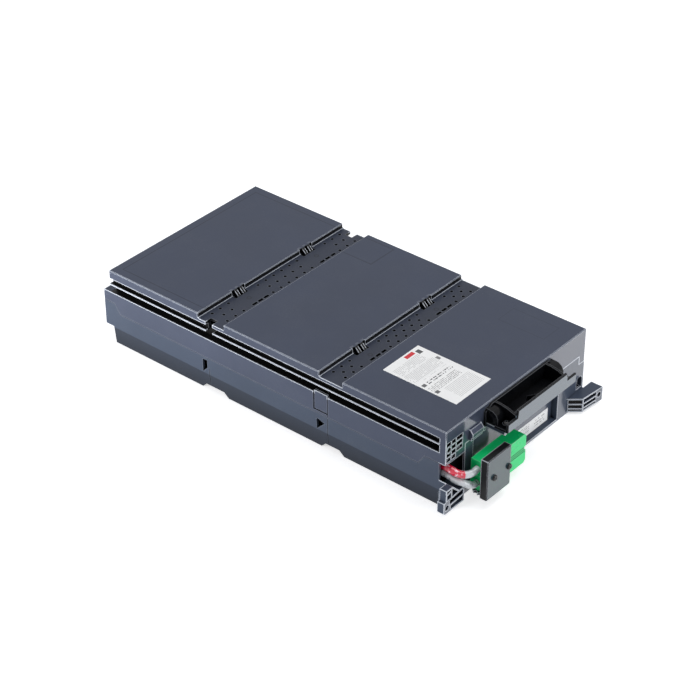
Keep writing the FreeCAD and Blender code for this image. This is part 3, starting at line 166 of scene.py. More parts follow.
class CartridgeColours(bpy.types.PropertyGroup):
    """Colours of the cartridge's finishes"""

    lid: colour("Cover", "Moulded plastic of the upper cover", 62, 69, 87)
    tray: colour("Tray", "Moulded plastic of the lower tray", 64, 73, 89)
    # Painted highlight: the pale tone laid along outer edges and chamfers where light catches them
    edge: colour("Edges", "Rubbed edges and chamfers", 206, 212, 222)
    # Painted shade: the near black laid in corners, slots, cells and other hollows
    hollow_shade: colour("Hollows", "Dark corners, slots and cells", 3, 3, 4)
    dark: colour("Dark plastic", "Handle and connector bracket", 12, 13, 16)
    green: colour("Connector", "Green connector housings", 14, 220, 124)
    battery: colour("Battery case", "Plastic of the battery blocks", 40, 42, 46)
    metal: colour("Tinned brass", "Terminal tabs and contacts", 196, 186, 158)
    boot: colour("Boots", "Soft covers of the lead ends", 150, 34, 32)
    insulation: colour("Lead", "Grey insulation of the leads", 128, 131, 136)
    red: colour("Marker", "Red sleeve of the marked lead", 222, 20, 62)
    sleeve: colour("Sleeve", "Pale sleeves over the leads", 212, 217, 223)
    fuse: colour("Fuse holder", "Holder of the inline fuse", 36, 38, 42)
    steel: colour("Screws", "Blackened steel of the screws", 16, 17, 19)
    label: colour("Label", "Printed film", 250, 251, 253)
    ink: colour("Ink", "Grey print on the labels", 44, 46, 52)
    accent: colour("Label accent", "Red block printed on the large label", 206, 36, 48)
    foam: colour("Foam", "Pads between blocks and case", 48, 49, 52)
    floor: colour("Floor", "Pale studio floor", 236, 237, 240)


class CartridgeSizes(bpy.types.PropertyGroup):
    """Sizes of the pieces that are finished here"""

    lead: length("Lead diameter", "Outer diameter of a connector lead", 4.8)
    sleeve: length("Sleeve diameter", "Outer diameter of the pale sleeves", 7.0)
    grain: length("Grain", "Size of the moulded surface grain", 0.55)
    screw_recess: length("Drive recess", "Depth of the cross recess in a screw head", 1.1)
    edge_round: length("Edge rounding", "Rounding along the edges of hard pieces", 0.35)


def colours():
    return bpy.context.scene.cartridge_colours


def sizes():
    return bpy.context.scene.cartridge_sizes


# ---------------------------------------------------------------- node helpers
def feed(tree, socket, value):
    """Links a socket where another socket is given, and sets it where a value is."""
    if isinstance(value, bpy.types.NodeSocket):
        tree.links.new(value, socket)
    else:
        socket.default_value = value


def add(tree, kind, inputs=None, **settings):
    """Adds a node, with its settings and with its inputs by name or number."""
    made = tree.nodes.new(kind)
    for name, value in settings.items():
        setattr(made, name, value)
    for name, value in (inputs or {}).items():
        feed(tree, made.inputs[name], value)
    return made


def calc(tree, operation, *values, clamp=False):
    made = add(tree, "ShaderNodeMath", dict(enumerate(values)), operation=operation, use_clamp=clamp)
    return made.outputs[0]


def chain(tree, operation, first, *others):
    """Joins values one after another by the same operation."""
    for other in others:
        first = calc(tree, operation, first, other)
    return first


def product(tree, *values):
    return chain(tree, "MULTIPLY", *values)


def largest(tree, *values):
    return chain(tree, "MAXIMUM", *values)


def between(tree, value, low, high):
    """1 where value lies between low and high, 0 elsewhere."""
    return product(tree, calc(tree, "GREATER_THAN", value, low), calc(tree, "LESS_THAN", value, high))


def mapped(tree, value, start, stop, low=0.0, high=1.0):
    """Takes the range from start to stop onto the range from low to high, and holds it there."""
    return add(tree, "ShaderNodeMapRange", {0: value, 1: start, 2: stop, 3: low, 4: high}).outputs[0]


def apart(tree, vector):
    """The x, y and z of a vector."""
    return add(tree, "ShaderNodeSeparateXYZ", {0: vector}).outputs


def noise(tree, place, scale, detail, roughness=0.5, distortion=0.0):
    return add(tree, "ShaderNodeTexNoise", {
        "Vector": place, "Scale": scale, "Detail": detail, "Roughness": roughness, "Distortion": distortion,
    }).outputs[0]


def mixed(tree, factor, first, second):
    """One colour taken toward another; on a Mix node the colours are inputs 6 and 7 and output 2."""
    made = add(tree, "ShaderNodeMix", data_type="RGBA")
    feed(tree, made.inputs[0], factor)
    for number, tone in ((6, first), (7, second)):
        feed(tree, made.inputs[number], tone if isinstance(tone, bpy.types.NodeSocket) else (*tone[:3], 1.0))
    return made.outputs[2]


def group(name, inputs, outputs):
    """Starts a shared effect. Its inputs have a usual value each, or None for a vector, and its outputs
    are numbers. Gives the tree, the sockets that bring the inputs in and those that take the results."""
    tree = bpy.data.node_groups.new(name, "ShaderNodeTree")
    for socket, value in inputs.items():
        kind = "NodeSocketVector" if value is None else "NodeSocketFloat"
        made = tree.interface.new_socket(socket, in_out="INPUT", socket_type=kind)
        if value is not None:
            made.default_value = value
    for socket in outputs:
        tree.interface.new_socket(socket, in_out="OUTPUT", socket_type="NodeSocketFloat")
    return tree, tree.nodes.new("NodeGroupInput").outputs, tree.nodes.new("NodeGroupOutput").inputs


def use(tree, name, inputs):
    """Places a shared effect in a material and gives back its outputs."""
    return add(tree, "ShaderNodeGroup", inputs, node_tree=bpy.data.node_groups[name]).outputs


# ---------------------------------------------------------------- shared effects
def grain_effect():
    """Fine moulded grain with slow changes of tone, as an injection-moulded case has."""
    tree, given, result = group(
        "Moulded grain", {"Vector": None, "Grain size": 0.0005, "Cloud size": 0.06}, ("Height", "Cloud"))
    for socket, size, detail in (("Height", "Grain size", 2.0), ("Cloud", "Cloud size", 3.0)):
        pattern = noise(tree, given["Vector"], calc(tree, "DIVIDE", 1.0, given[size]), detail)
        tree.links.new(pattern, result[socket])


def edge_effect():
    """Masks for a painted highlight along outer edges, for painted shade in hollows and for faces turned up
    or forward.
    """
    tree, given, result = group(
        "Edges and hollows",
        {"Edge width": 0.0007, "Hollow depth": 0.007},
        ("Edge", "Hollow", "Up", "Forward"))
    inner = add(tree, "ShaderNodeAmbientOcclusion", {"Distance": given["Edge width"]},
                inside=True, only_local=True, samples=6)
    outer = add(tree, "ShaderNodeAmbientOcclusion", {"Distance": given["Hollow depth"]},
                only_local=True, samples=8)
    tree.links.new(mapped(tree, inner.outputs["AO"], 0.95, 0.72), result["Edge"])
    tree.links.new(mapped(tree, outer.outputs["AO"], 0.62, 0.25), result["Hollow"])
    facing = apart(tree, add(tree, "ShaderNodeNewGeometry").outputs["True Normal"])
    tree.links.new(mapped(tree, facing[2], 0.9, 0.98), result["Up"])
    tree.links.new(mapped(tree, facing[0], 0.9, 0.98), result["Forward"])


def dust_effect():
    """Light dust and rub marks: soft patches broken up by fine noise."""
    tree, given, result = group("Dust", {"Vector": None, "Amount": 0.3}, ("Mask",))
    patch = mapped(tree, noise(tree, given["Vector"], 22.0, 5.0, roughness=0.65), 0.45, 0.75)
    broken = mapped(tree, noise(tree, given["Vector"], 700.0, 2.0), 0.35, 0.7)
    tree.links.new(product(tree, patch, broken, given["Amount"]), result["Mask"])


def line_from(tree, distance, width):
    """A soft line where a distance is nought."""
    near = calc(tree, "DIVIDE", calc(tree, "ABSOLUTE", distance), width)
    return mapped(tree, near, 0.7, 0.4)


def outline_effect():
    """A thin rectangular line round a centre, as moulded into a lid."""
    tree, given, result = group(
        "Rectangle line",
        {"Vector": None, "Centre X": 0.0, "Centre Y": 0.0, "Half X": 0.01, "Half Y": 0.01, "Line": 0.0008},
        ("Line",))
    parts = apart(tree, given["Vector"])
    beyond = []
    for axis, centre, half in ((0, "Centre X", "Half X"), (1, "Centre Y", "Half Y")):
        off = calc(tree, "ABSOLUTE", calc(tree, "SUBTRACT", parts[axis], given[centre]))
        beyond.append(calc(tree, "SUBTRACT", off, given[half]))
    tree.links.new(line_from(tree, largest(tree, *beyond), given["Line"]), result["Line"])


def ring_effect():
    """A thin circle round a centre on each side of the case, as an ejector pin leaves."""
    tree, given, result = group(
        "Ring line",
        {"Vector": None, "Centre X": 0.0, "Centre Y": 0.0, "Radius": 0.002, "Line": 0.0005},
        ("Line",))
    parts = apart(tree, given["Vector"])
    squares = []
    for place, centre in ((parts[0], "Centre X"), (calc(tree, "ABSOLUTE", parts[1]), "Centre Y")):
        squares.append(calc(tree, "POWER", calc(tree, "SUBTRACT", place, given[centre]), 2.0))
    reach = calc(tree, "SQRT", calc(tree, "ADD", *squares))
    off = calc(tree, "SUBTRACT", reach, given["Radius"])
    tree.links.new(line_from(tree, off, given["Line"]), result["Line"])


def zone_effect():
    """1 inside a box given by two corners, on both sides of the case alike."""
    tree, given, result = group("Zone", {"Vector": None, "Low": None, "High": None}, ("Mask",))
    parts = apart(tree, given["Vector"])
    off_middle = calc(tree, "ABSOLUTE", parts[1])
    folded = add(tree, "ShaderNodeCombineXYZ", {0: parts[0], 1: off_middle, 2: parts[2]})

    def vector(operation, first, second):
        return add(tree, "ShaderNodeVectorMath", {0: first, 1: second}, operation=operation).outputs[0]

    above = vector("SUBTRACT", folded.outputs[0], given["Low"])
    below = vector("SUBTRACT", given["High"], folded.outputs[0])
    depth = apart(tree, vector("MINIMUM", above, below))
    inside = calc(tree, "MINIMUM", depth[0], calc(tree, "MINIMUM", depth[1], depth[2]))
    tree.links.new(calc(tree, "GREATER_THAN", inside, 0.0), result["Mask"])


def print_effect():
    """Rows of short printed marks in place of words: bars of uneven length on even rows.
    Each row draws on its own stretch of the noise, and a few rows stay empty."""
    tree, given, result = group(
        "Printed rows",
        {"Along": 0.0, "Across": 0.0, "Row pitch": 0.002, "Row fill": 0.5, "Mark length": 0.004,
         "Blank share": 0.4},
        ("Ink",))
    shift, spread, draw, empty = 5.37, 7.31, 3.7, 0.06
    row = calc(tree, "DIVIDE", given["Across"], given["Row pitch"])
    number = calc(tree, "FLOOR", row)
    inside = calc(tree, "LESS_THAN", calc(tree, "FRACT", row), given["Row fill"])
    along = calc(tree, "DIVIDE", given["Along"], given["Mark length"])
    along = calc(tree, "ADD", along, product(tree, number, shift))
    step = add(tree, "ShaderNodeCombineXYZ", {0: along, 1: product(tree, number, spread)})
    words = noise(tree, step.outputs[0], 1.0, 2.0, roughness=0.8)
    marks = calc(tree, "GREATER_THAN", words, given["Blank share"])
    drawn = add(tree, "ShaderNodeTexWhiteNoise", {1: product(tree, number, draw)}, noise_dimensions="1D")
    kept = calc(tree, "GREATER_THAN", drawn.outputs[0], empty)
    tree.links.new(product(tree, marks, inside, kept), result["Ink"])


def build_effects():
    grain_effect()
    edge_effect()
    dust_effect()
    outline_effect()
    ring_effect()
    zone_effect()
    print_effect()


# ---------------------------------------------------------------- materials
def material(name):
    """An empty material with its shader ready."""
    made = bpy.data.materials.new("finish_" + name)
    made.use_nodes = True
    tree = made.node_tree
    tree.nodes.clear()
    shader = tree.nodes.new("ShaderNodeBsdfPrincipled")
    output = tree.nodes.new("ShaderNodeOutputMaterial")
    tree.links.new(shader.outputs[0], output.inputs["Surface"])
    return made, tree, shader


def finish_of(name):
    return bpy.data.materials["finish_" + name]


def place_of(tree):
    return add(tree, "ShaderNodeTexCoord").outputs["Object"]


def bump(tree, shader, height, strength, distance):
    made = add(tree, "ShaderNodeBump", {"Height": height, "Strength": strength, "Distance": distance})
    tree.links.new(made.outputs[0], shader.inputs["Normal"])


def zones(tree, place, boxes):
    """1 inside any of some zones."""
    masks = []
    for x0, x1, y0, y1, z0, z1 in boxes:
        low, high = (x0 * MM, y0 * MM, z0 * MM), (x1 * MM, y1 * MM, z1 * MM)
        masks.append(use(tree, "Zone", {"Vector": place, "Low": low, "High": high})["Mask"])
    return largest(tree, *masks)


def lid_lines(tree, place, masks):
    """Thin moulded lines on the lids: a frame, a square and a plain field, and a small ring by each clip."""
    lines = []
    for x, y, half_x, half_y, width, strength in LID_FRAMES:
        frame_line = use(tree, "Rectangle line", {
            "Vector": place, "Centre X": x * MM, "Centre Y": y * MM,
            "Half X": half_x * MM, "Half Y": half_y * MM, "Line": width * MM})
        lines.append(product(tree, frame_line["Line"], strength))
    for x in LID_RINGS:
        ring = use(tree, "Ring line", {
            "Vector": place, "Centre X": x * MM, "Centre Y": CLIP * MM,
            "Radius": RING_RADIUS * MM, "Line": RING_LINE * MM})
        lines.append(ring["Line"])
    return product(tree, largest(tree, *lines), masks["Up"], 0.55)


def below_fold(tree, place, _masks):
    """Painted shade on the tray's side and rear walls below the fold, darker towards the underside."""
    parts = apart(tree, place)
    fold = TRAY_FOLD * MM
    under = mapped(tree, parts[2], fold + 0.5 * MM, fold - 0.5 * MM)
    deeper = mapped(tree, parts[2], fold, 0.0, 0.75, 1.0)
    behind = calc(tree, "LESS_THAN", parts[0], TRAY_FRONT * MM)
    return product(tree, under, deeper, behind, 0.75)


TONE_SWING = 0.1       # share by which the plastic's tone drifts up and down
SHADE = 0.3            # how far a shaded zone goes to black
EDGE_HIGHLIGHT_KEPT = 0.1         # share of the painted edge highlight left in a plain zone
DUST_COLOUR = linear(150, 154, 162)
GRAIN_STRENGTH = 0.35
SKIN_IOR = 2.1         # of the polished skin


def moulded(name, base, rough, depth=0.02, edge=0.0, hollow_shade=0.0, dust=0.0, polish=0.0,
            specular=0.5, metallic=0.0, edge_width=1.5, hollow_depth=7.0, gloss=0.1,
            front=None, polished_from=-300.0,
            painted_shade_zones=(), clear=(), plain=(), shaded=(), marks=None, mark_colour=None):
    """Moulded surface: fine grain, slow tone changes, a painted highlight along outer edges, painted shade
    in hollows, a little dust, and a glossy skin on the faces turned forward beyond polished_from, where
    front is a painted reflection. Shade zones are laid dark inside as painted shade, clear zones keep no
    painted shade from hollows, plain zones keep little painted edge highlight, and shaded zones get painted
    shade. Widths and depths are in millimetres. The function marks gives a mask for mark_colour."""
    made, tree, shader = material(name)
    place = place_of(tree)
    grained = use(tree, "Moulded grain", {"Vector": place, "Grain size": sizes().grain})
    masks = use(tree, "Edges and hollows", {"Edge width": edge_width * MM, "Hollow depth": hollow_depth * MM})
    dusty = use(tree, "Dust", {"Vector": place, "Amount": dust})["Mask"]

    low, high = (tuple(c * (1 + swing) for c in base) for swing in (-TONE_SWING, TONE_SWING))
    tone = mixed(tree, grained["Cloud"], low, high)
    ahead = calc(tree, "GREATER_THAN", apart(tree, place)[0], polished_from * MM)
    coat_and_painted_reflection = product(tree, masks["Forward"], ahead)
    # Painted reflection: front is a paler tone on the faces turned forward, for the pale floor that they
    # mirror
    if front:
        tone = mixed(tree, coat_and_painted_reflection, tone, front)
    tone = mixed(tree, dusty, tone, DUST_COLOUR)
    if shaded:
        tone = mixed(tree, product(tree, zones(tree, place, shaded), SHADE), tone, (0.0, 0.0, 0.0))
    # Painted shade: near black in hollows found by occlusion and in the shade zones, none in clear zones
    painted_shade = product(tree, masks["Hollow"], hollow_shade)
    if clear:
        painted_shade = product(tree, painted_shade, calc(tree, "SUBTRACT", 1.0, zones(tree, place, clear)))
    if painted_shade_zones:
        painted_shade = largest(tree, painted_shade, zones(tree, place, painted_shade_zones))
    tone = mixed(tree, painted_shade, tone, colours().hollow_shade)
    # Painted highlight: a pale tone along outer edges, mostly left off in plain zones
    painted_edge_highlight = product(tree, masks["Edge"], edge)
    if plain:
        painted_edge_highlight = product(tree, painted_edge_highlight, mapped(tree, zones(tree, place, plain), 0.0, 1.0, 1.0, EDGE_HIGHLIGHT_KEPT))
    tone = mixed(tree, painted_edge_highlight, tone, colours().edge)
    if marks:
        tone = mixed(tree, marks(tree, place, masks), tone, mark_colour)
    tree.links.new(tone, shader.inputs["Base Color"])

    roughness = mapped(tree, grained["Cloud"], 0.3, 0.7, rough - 0.05, rough + 0.05)
    tree.links.new(calc(tree, "ADD", roughness, product(tree, dusty, 0.3)), shader.inputs["Roughness"])
    if depth:
        bump(tree, shader, grained["Height"], GRAIN_STRENGTH, depth * MM)
    shader.inputs["Specular IOR Level"].default_value = specular
    shader.inputs["Metallic"].default_value = metallic
    if polish:
        skin = product(tree, coat_and_painted_reflection, calc(tree, "SUBTRACT", 1.0, painted_shade, clamp=True), polish)
        tree.links.new(skin, shader.inputs["Coat Weight"])
        shader.inputs["Coat Roughness"].default_value = gloss
        shader.inputs["Coat IOR"].default_value = SKIN_IOR
    return made


SOLID = (9.0, 1.0, 9.0, -1.0)  # row values that ink a region all over
RATING_ROWS = (
    (8, 20, 3, 40, 1.7, 0.34, 5.0, 0.43, 0.42),
    (4, 10, 41, 46, *SOLID, 0.95),
    (21, 36, 2, 44, 1.7, 0.34, 6.0, 0.40, 0.42),
    (24, 29, 45, 48.5, *SOLID, 0.8),
    (38, 47, 9, 44, 2.6, 0.5, 1.5, 0.50, 1.0),
    (42, 46, 2, 6.5, *SOLID, 0.9),
    (48.5, 58, 2, 42, 1.8, 0.4, 2.0, 0.46, 0.7),
    (57, 61, 2, 6.5, *SOLID, 0.9),
    (60, 80, 12, 47, 1.8, 0.3, 9.0, 0.36, 0.42),
)
RATING_ACCENT = (2.0, 6.5, 27.0, 39.0)
FRONT_ROWS = (
    (2.5, 11.3, 3, 30, 2.2, 0.5, 2.0, 0.46, 0.55),
    (3.5, 10.8, 36, 54, 3.0, 0.5, 3.4, 0.5, 0.5),
)


def label_finish(name, node, stacked, rows, accent=None):
    """White film with rows of generic marks, stacked along one axis. A region of rows gives its limits
    across and along the rows from the label's low corner, the rows' pitch, the inked share of that
    pitch, the marks' length, the noise level that blanks them and the strength of the ink."""
    made, tree, shader = material(name)
    place = place_of(tree)
    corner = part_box(node)[0]
    parts = apart(tree, place)
    across, along = parts[stacked], parts[1]

    def inside(low_across, high_across, low_along, high_along):
        return product(
            tree,
            between(tree, across, corner[stacked] + low_across * MM, corner[stacked] + high_across * MM),
            between(tree, along, corner.y + low_along * MM, corner.y + high_along * MM))

    printed = []
    for *limits, pitch, fill, mark, blank, strength in rows:
        marks = use(tree, "Printed rows", {
            "Along": along, "Across": across, "Row pitch": pitch * MM, "Row fill": fill,
            "Mark length": mark * MM, "Blank share": blank})
        printed.append(product(tree, marks["Ink"], inside(*limits), strength))
    cloud = use(tree, "Moulded grain", {"Vector": place, "Grain size": 0.0004, "Cloud size": 0.03})["Cloud"]
    film = colours().label
    tone = mixed(tree, cloud, tuple(0.97 * c for c in film), tuple(min(1.0, 1.03 * c) for c in film))
    tone = mixed(tree, largest(tree, *printed), tone, colours().ink)
    if accent:
        tone = mixed(tree, inside(*accent), tone, colours().accent)
    tree.links.new(tone, shader.inputs["Base Color"])
    tree.links.new(mapped(tree, cloud, 0.0, 1.0, 0.38, 0.52), shader.inputs["Roughness"])
    bump(tree, shader, cloud, 0.12, 0.1 * MM)
    return made


def sleeve_finish(name, base, dark, light):
    """Soft sleeve with cloudy patches, and with bright streaks of painted highlight in the light colour,
    under a wet-looking skin.
    """
    made, tree, shader = material(name)
    place = place_of(tree)
    blotch = noise(tree, place, 170.0, 4.0, roughness=0.65, distortion=1.2)
    highlight_streak = noise(tree, place, 260.0, 2.0)
    tone = mixed(tree, mapped(tree, blotch, 0.34, 0.46), dark, base)
    # Painted highlight: pale streaks in the light colour
    tone = mixed(tree, mapped(tree, highlight_streak, 0.55, 0.68), tone, light)
    tree.links.new(tone, shader.inputs["Base Color"])
    tree.links.new(mapped(tree, blotch, 0.0, 1.0, 0.12, 0.34), shader.inputs["Roughness"])
    bump(tree, shader, blotch, 0.5, 0.25 * MM)
    shader.inputs["Coat Weight"].default_value = 0.8
    shader.inputs["Coat Roughness"].default_value = 0.05
    return made


def build_finishes():
    """Makes every material once."""
    # In these finishes the edge amounts lay a painted highlight along outer edges and the hollow amounts lay
    # painted shade in hollows; shade zones and shaded zones are painted shade
    pick = colours()
    moulded("charcoal_plastic", pick.lid, 0.4, edge=1.0, hollow_shade=0.95, dust=0.06, polish=0.85, specular=0.2,
            edge_width=1.0, hollow_depth=5.0, painted_shade_zones=COVER_SHADE_ZONES, plain=COVER_PLAIN, shaded=COVER_SHADED,
            marks=lid_lines, mark_colour=linear(28, 31, 40))
    # The tray's dark mark colour below the fold is painted shade
    moulded("tray_plastic", pick.tray, 0.38, edge=1.0, hollow_shade=0.95, dust=0.06, polish=0.75, specular=0.14,
            edge_width=0.9, hollow_depth=6.0, painted_shade_zones=TRAY_SHADE_ZONES, clear=TRAY_CLEAR, plain=TRAY_PLAIN,
            marks=below_fold, mark_colour=linear(10, 14, 22))
    # The front colours of the handle and the bracket are painted reflections on their forward faces
    moulded("black_plastic", pick.dark, 0.2, depth=0.005, edge=0.12, hollow_shade=0.9, polish=1.0, specular=0.14,
            edge_width=0.7, front=linear(40, 66, 84), polished_from=229.0)
    moulded("bracket_plastic", pick.dark, 0.3, depth=0.01, edge=0.9, hollow_shade=0.8, polish=0.6, specular=0.2,
            edge_width=0.9, gloss=0.2, front=linear(24, 50, 60))
    moulded("green_plastic", pick.green, 0.3, edge=0.12, hollow_shade=1.0, polish=0.1, specular=0.35,
            hollow_depth=1.3, painted_shade_zones=SEAM_SHADE_ZONES)
    moulded("battery_plastic", pick.battery, 0.5)
    moulded("boot_plastic", pick.boot, 0.45)
    moulded("wire_insulation", pick.insulation, 0.4)
    # The last colour of each sleeve is a painted highlight
    sleeve_finish("red_insulation", pick.red, linear(168, 8, 40), linear(255, 206, 218))
    sleeve_finish("grey_sleeve", pick.sleeve, linear(92, 98, 106), linear(226, 232, 236))
    moulded("fuse_plastic", pick.fuse, 0.4)
    moulded("black_steel", pick.steel, 0.16, depth=0.0, edge=0.2, hollow_shade=1.0, specular=0.4,
            edge_width=0.3, hollow_depth=1.5)
    moulded("foam", pick.foam, 0.9)
    moulded("tinned_brass", pick.metal, 0.3, metallic=1.0)
    label_finish("rating_print", "rating_label", 0, RATING_ROWS, RATING_ACCENT)
    label_finish("front_print", "front_label", 2, FRONT_ROWS)


def dress(piece, finish):
    """Gives a CAD node one finish, on the object's own slots."""
    if not piece.material_slots:
        piece.data.materials.append(None)
    for slot in piece.material_slots:
        slot.link = "OBJECT"
        slot.material = finish


# ---------------------------------------------------------------- modelling helpers
def only(piece):
    """Leaves this piece alone selected and active."""
    bpy.ops.object.select_all(action="DESELECT")
    piece.select_set(True)
    bpy.context.view_layer.objects.active = piece
    return piece


def named(name):
    """Names the object that an operator has just added."""
    piece = bpy.context.object
    piece.name = piece.data.name = name
    return piece


def edit(piece):
    """Opens a piece for editing."""
    only(piece)
    bpy.ops.object.mode_set(mode="EDIT")


def done(piece):
    bmesh.update_edit_mesh(piece.data)
    bpy.ops.object.mode_set(mode="OBJECT")


def pick_faces(piece, test):
    """Selects, in edit mode, the faces for which test(face) holds."""
    bpy.ops.mesh.select_mode(type="FACE")
    bpy.ops.mesh.select_all(action="DESELECT")
    for face in bmesh.from_edit_mesh(piece.data).faces:
        face.select = test(face)
    bmesh.update_edit_mesh(piece.data)


def pick_edges(piece, test):
    """Selects, in edit mode, the edges for which test(edge) holds, and counts them."""
    bpy.ops.mesh.select_mode(type="EDGE")
    bpy.ops.mesh.select_all(action="DESELECT")
    chosen = [edge for edge in bmesh.from_edit_mesh(piece.data).edges if test(edge)]
    for edge in chosen:
        edge.select = True
    bmesh.update_edit_mesh(piece.data)
    return len(chosen)


def placed(piece):
    """Puts a piece's place, turn and size into its mesh."""
    only(piece)
    bpy.ops.object.transform_apply(location=True, rotation=True, scale=True)
    return piece


def smooth(piece, degrees):
    only(piece)
    bpy.ops.object.shade_smooth_by_angle(angle=math.radians(degrees))


def hand_over(piece, slot, finish, *nodes):
    """Finishes a new piece: its material, the body it rides on and the node it stands for."""
    piece.data.materials.clear()
    piece.data.materials.append(finish_of(finish))
    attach(piece, "root")
    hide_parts(*nodes)


def round_over(node, offset, segments, slot, finish):
    """Stands a copy of a node, its outer edges rounded over, in the node's place."""
    piece = bpy.data.objects.new(node + "_rounded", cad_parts[node].data.copy())
    bpy.context.scene.collection.objects.link(piece)
    edit(piece)
    bpy.ops.mesh.select_all(action="SELECT")
    bpy.ops.mesh.customdata_custom_splitnormals_clear()
    bpy.ops.mesh.remove_doubles(threshold=0.00001)
    bpy.ops.mesh.dissolve_limited(angle_limit=math.radians(0.5))
    sharp, shortest = math.radians(38), 1.2 * MM
    if not pick_edges(piece, lambda e: e.is_manifold and e.calc_face_angle_signed() > sharp
                      and e.calc_length() > shortest):
        raise RuntimeError(node + " has no outer edges to round")
    bpy.ops.mesh.bevel(offset_type="OFFSET", offset=offset, segments=segments, profile=0.5,
                       affect="EDGES", clamp_overlap=True)
    done(piece)
    smooth(piece, 32)
    level = piece.modifiers.new("level", "WEIGHTED_NORMAL")
    level.keep_sharp = True
    bpy.ops.object.modifier_apply(modifier="level")
    hand_over(piece, slot, finish, node)


# ---------------------------------------------------------------- screws
def pan_screw(name, radius, height, recess):
    """Pan-head screw standing on the origin: domed head with a cross recess, washer face and shank."""
    def faces_down(face):
        return face.normal.z < -0.9

    def is_rim(edge):
        return (all(v.co.z > 0.75 * height for v in edge.verts)
                and len(edge.link_faces) == 2 and abs(edge.calc_face_angle()) > 1.0)

    bpy.ops.object.select_all(action="DESELECT")
    bpy.ops.mesh.primitive_cylinder_add(vertices=32, radius=radius, depth=height, location=(0, 0, height / 2))
    head = placed(named(name))
    edit(head)
    pick_edges(head, is_rim)
    bpy.ops.mesh.bevel(offset=0.62 * height, segments=5, profile=0.55, affect="EDGES")
    pick_faces(head, faces_down)
    bpy.ops.mesh.inset(thickness=0.5 * radius, depth=0.0)
    bpy.ops.mesh.extrude_region_move(TRANSFORM_OT_translate={"value": (0, 0, -1.2 * height)})
    done(head)
    arm, thin = 1.15 * radius, 0.3 * radius
    for sides in ((arm, thin), (thin, arm)):
        bpy.ops.object.select_all(action="DESELECT")
        bpy.ops.mesh.primitive_cube_add(size=1.0, location=(0, 0, height), scale=(*sides, 2 * recess))
        tool = named("recess_tool")
        edit(tool)
        pick_faces(tool, faces_down)
        bpy.ops.transform.resize(value=(0.72, 0.72, 1.0))
        done(tool)
        placed(tool)
        only(head)
        cut = head.modifiers.new("recess", "BOOLEAN")
        cut.operation = "DIFFERENCE"
        cut.object = tool
        bpy.ops.object.modifier_apply(modifier="recess")
        bpy.data.objects.remove(tool)
    smooth(head, 40)
    return head


def set_screws(name, places, node):
    """Copies one screw to each place, a point in millimetres and a facing direction, and joins them."""
    pattern = pan_screw(name, HEAD_RADIUS * MM, HEAD_HEIGHT * MM, sizes().screw_recess)
    made = []
    for spot, facing in places:
        copy = pattern.copy()
        copy.data = pattern.data.copy()
        bpy.context.scene.collection.objects.link(copy)
        copy.rotation_euler = Vector((0, 0, 1)).rotation_difference(Vector(facing)).to_euler()
        copy.location = [c * MM for c in spot]
        made.append(placed(copy))
    bpy.data.objects.remove(pattern)
    only(made[0])
    for copy in made[1:]:
        copy.select_set(True)
    bpy.ops.object.join()
    hand_over(named(name), "black_steel", "black_steel", node)


# ---------------------------------------------------------------- leads
def curve(name, kind, line, radius, rounding):
    """A curve of one spline along a line, round where radius is given; gives it with its spline."""
    data = bpy.data.curves.new(name, "CURVE")
    data.dimensions = "3D"
    data.bevel_depth = radius
    data.bevel_resolution = rounding
    data.use_fill_caps = True
    spline = data.splines.new(kind)
    spline.points.add(len(line) - 1)
    for point, place in zip(spline.points, line):
        point.co = (*place, 1.0)
    piece = bpy.data.objects.new(name, data)
    bpy.context.scene.collection.objects.link(piece)
    return piece, spline


def lead_curve(name, route, radius):
    """One smooth curve through a lead's route, given in millimetres."""
    piece, spline = curve(name, "NURBS", [[c * MM for c in place] for place in route], radius, 5)
    piece.data.resolution_u = 16
    spline.order_u = 3
    spline.use_endpoint_u = True
    return piece


def line_of(route):
    """The points that a lead's own spline passes through."""
    bare = lead_curve("bare_line", route, 0.0)
    line = [v.co.copy() for v in bpy.data.meshes.new_from_object(bare).vertices]
    bpy.data.objects.remove(bare)
    return line


def as_mesh(piece):
    """Turns a curve into a smooth mesh."""
    only(piece)
    bpy.ops.object.convert(target="MESH")
    smooth(bpy.context.object, 50)
    return bpy.context.object


def sleeve_over(name, line, radius, folds):
    """A soft sleeve along part of a lead's line: its radius swells and folds a little."""
    piece, spline = curve(name, "POLY", line, radius, 7)
    long_fold, short_fold = 1.9 * MM, 0.83 * MM
    walked = 0.0
    for index, point in enumerate(spline.points):
        if index:
            walked += (line[index] - line[index - 1]).length
        swell = math.sin(walked / long_fold) * 0.6 + math.sin(walked / short_fold) * 0.4
        point.radius = 1.0 + folds * swell
    return as_mesh(piece)


# ---------------------------------------------------------------- operators
# Parts not named here are battery blocks, which have their own plastic, and leads.
NODE_FINISHES = {
    "battery_terminals": "tinned_brass",
    "wire_terminals": "boot_plastic",
    "connector_contacts": "tinned_brass",
    "rating_label": "rating_print",
    "front_label": "front_print",
    "base_pads": "foam",
    "top_pads": "foam",
    "inline_fuse": "fuse_plastic",
    "top_cover": "charcoal_plastic",
    "lower_tray": "tray_plastic",
    "connector_bracket": "bracket_plastic",
    "connector_housing_upper": "green_plastic",
    "connector_housing_lower": "green_plastic",
    "handle": "black_plastic",
    "handle_screws": "black_steel",
    "bracket_screws": "black_steel",
    "positive_marker": "red_insulation",
    "positive_sleeve": "grey_sleeve",
    "negative_sleeve": "grey_sleeve",
}


class CARTRIDGE_OT_surfaces(bpy.types.Operator):
    """Makes the shared effects and finishes, and gives each part of the frame its own"""

    bl_idname = "cartridge.surfaces"
    bl_label = "Make the finishes"

    def execute(self, context):
        build_effects()
        build_finishes()
        for name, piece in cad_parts.items():
            other = "battery_plastic" if name.startswith("battery_") else "wire_insulation"
            dress(piece, finish_of(NODE_FINISHES.get(name, other)))
        return {"FINISHED"}


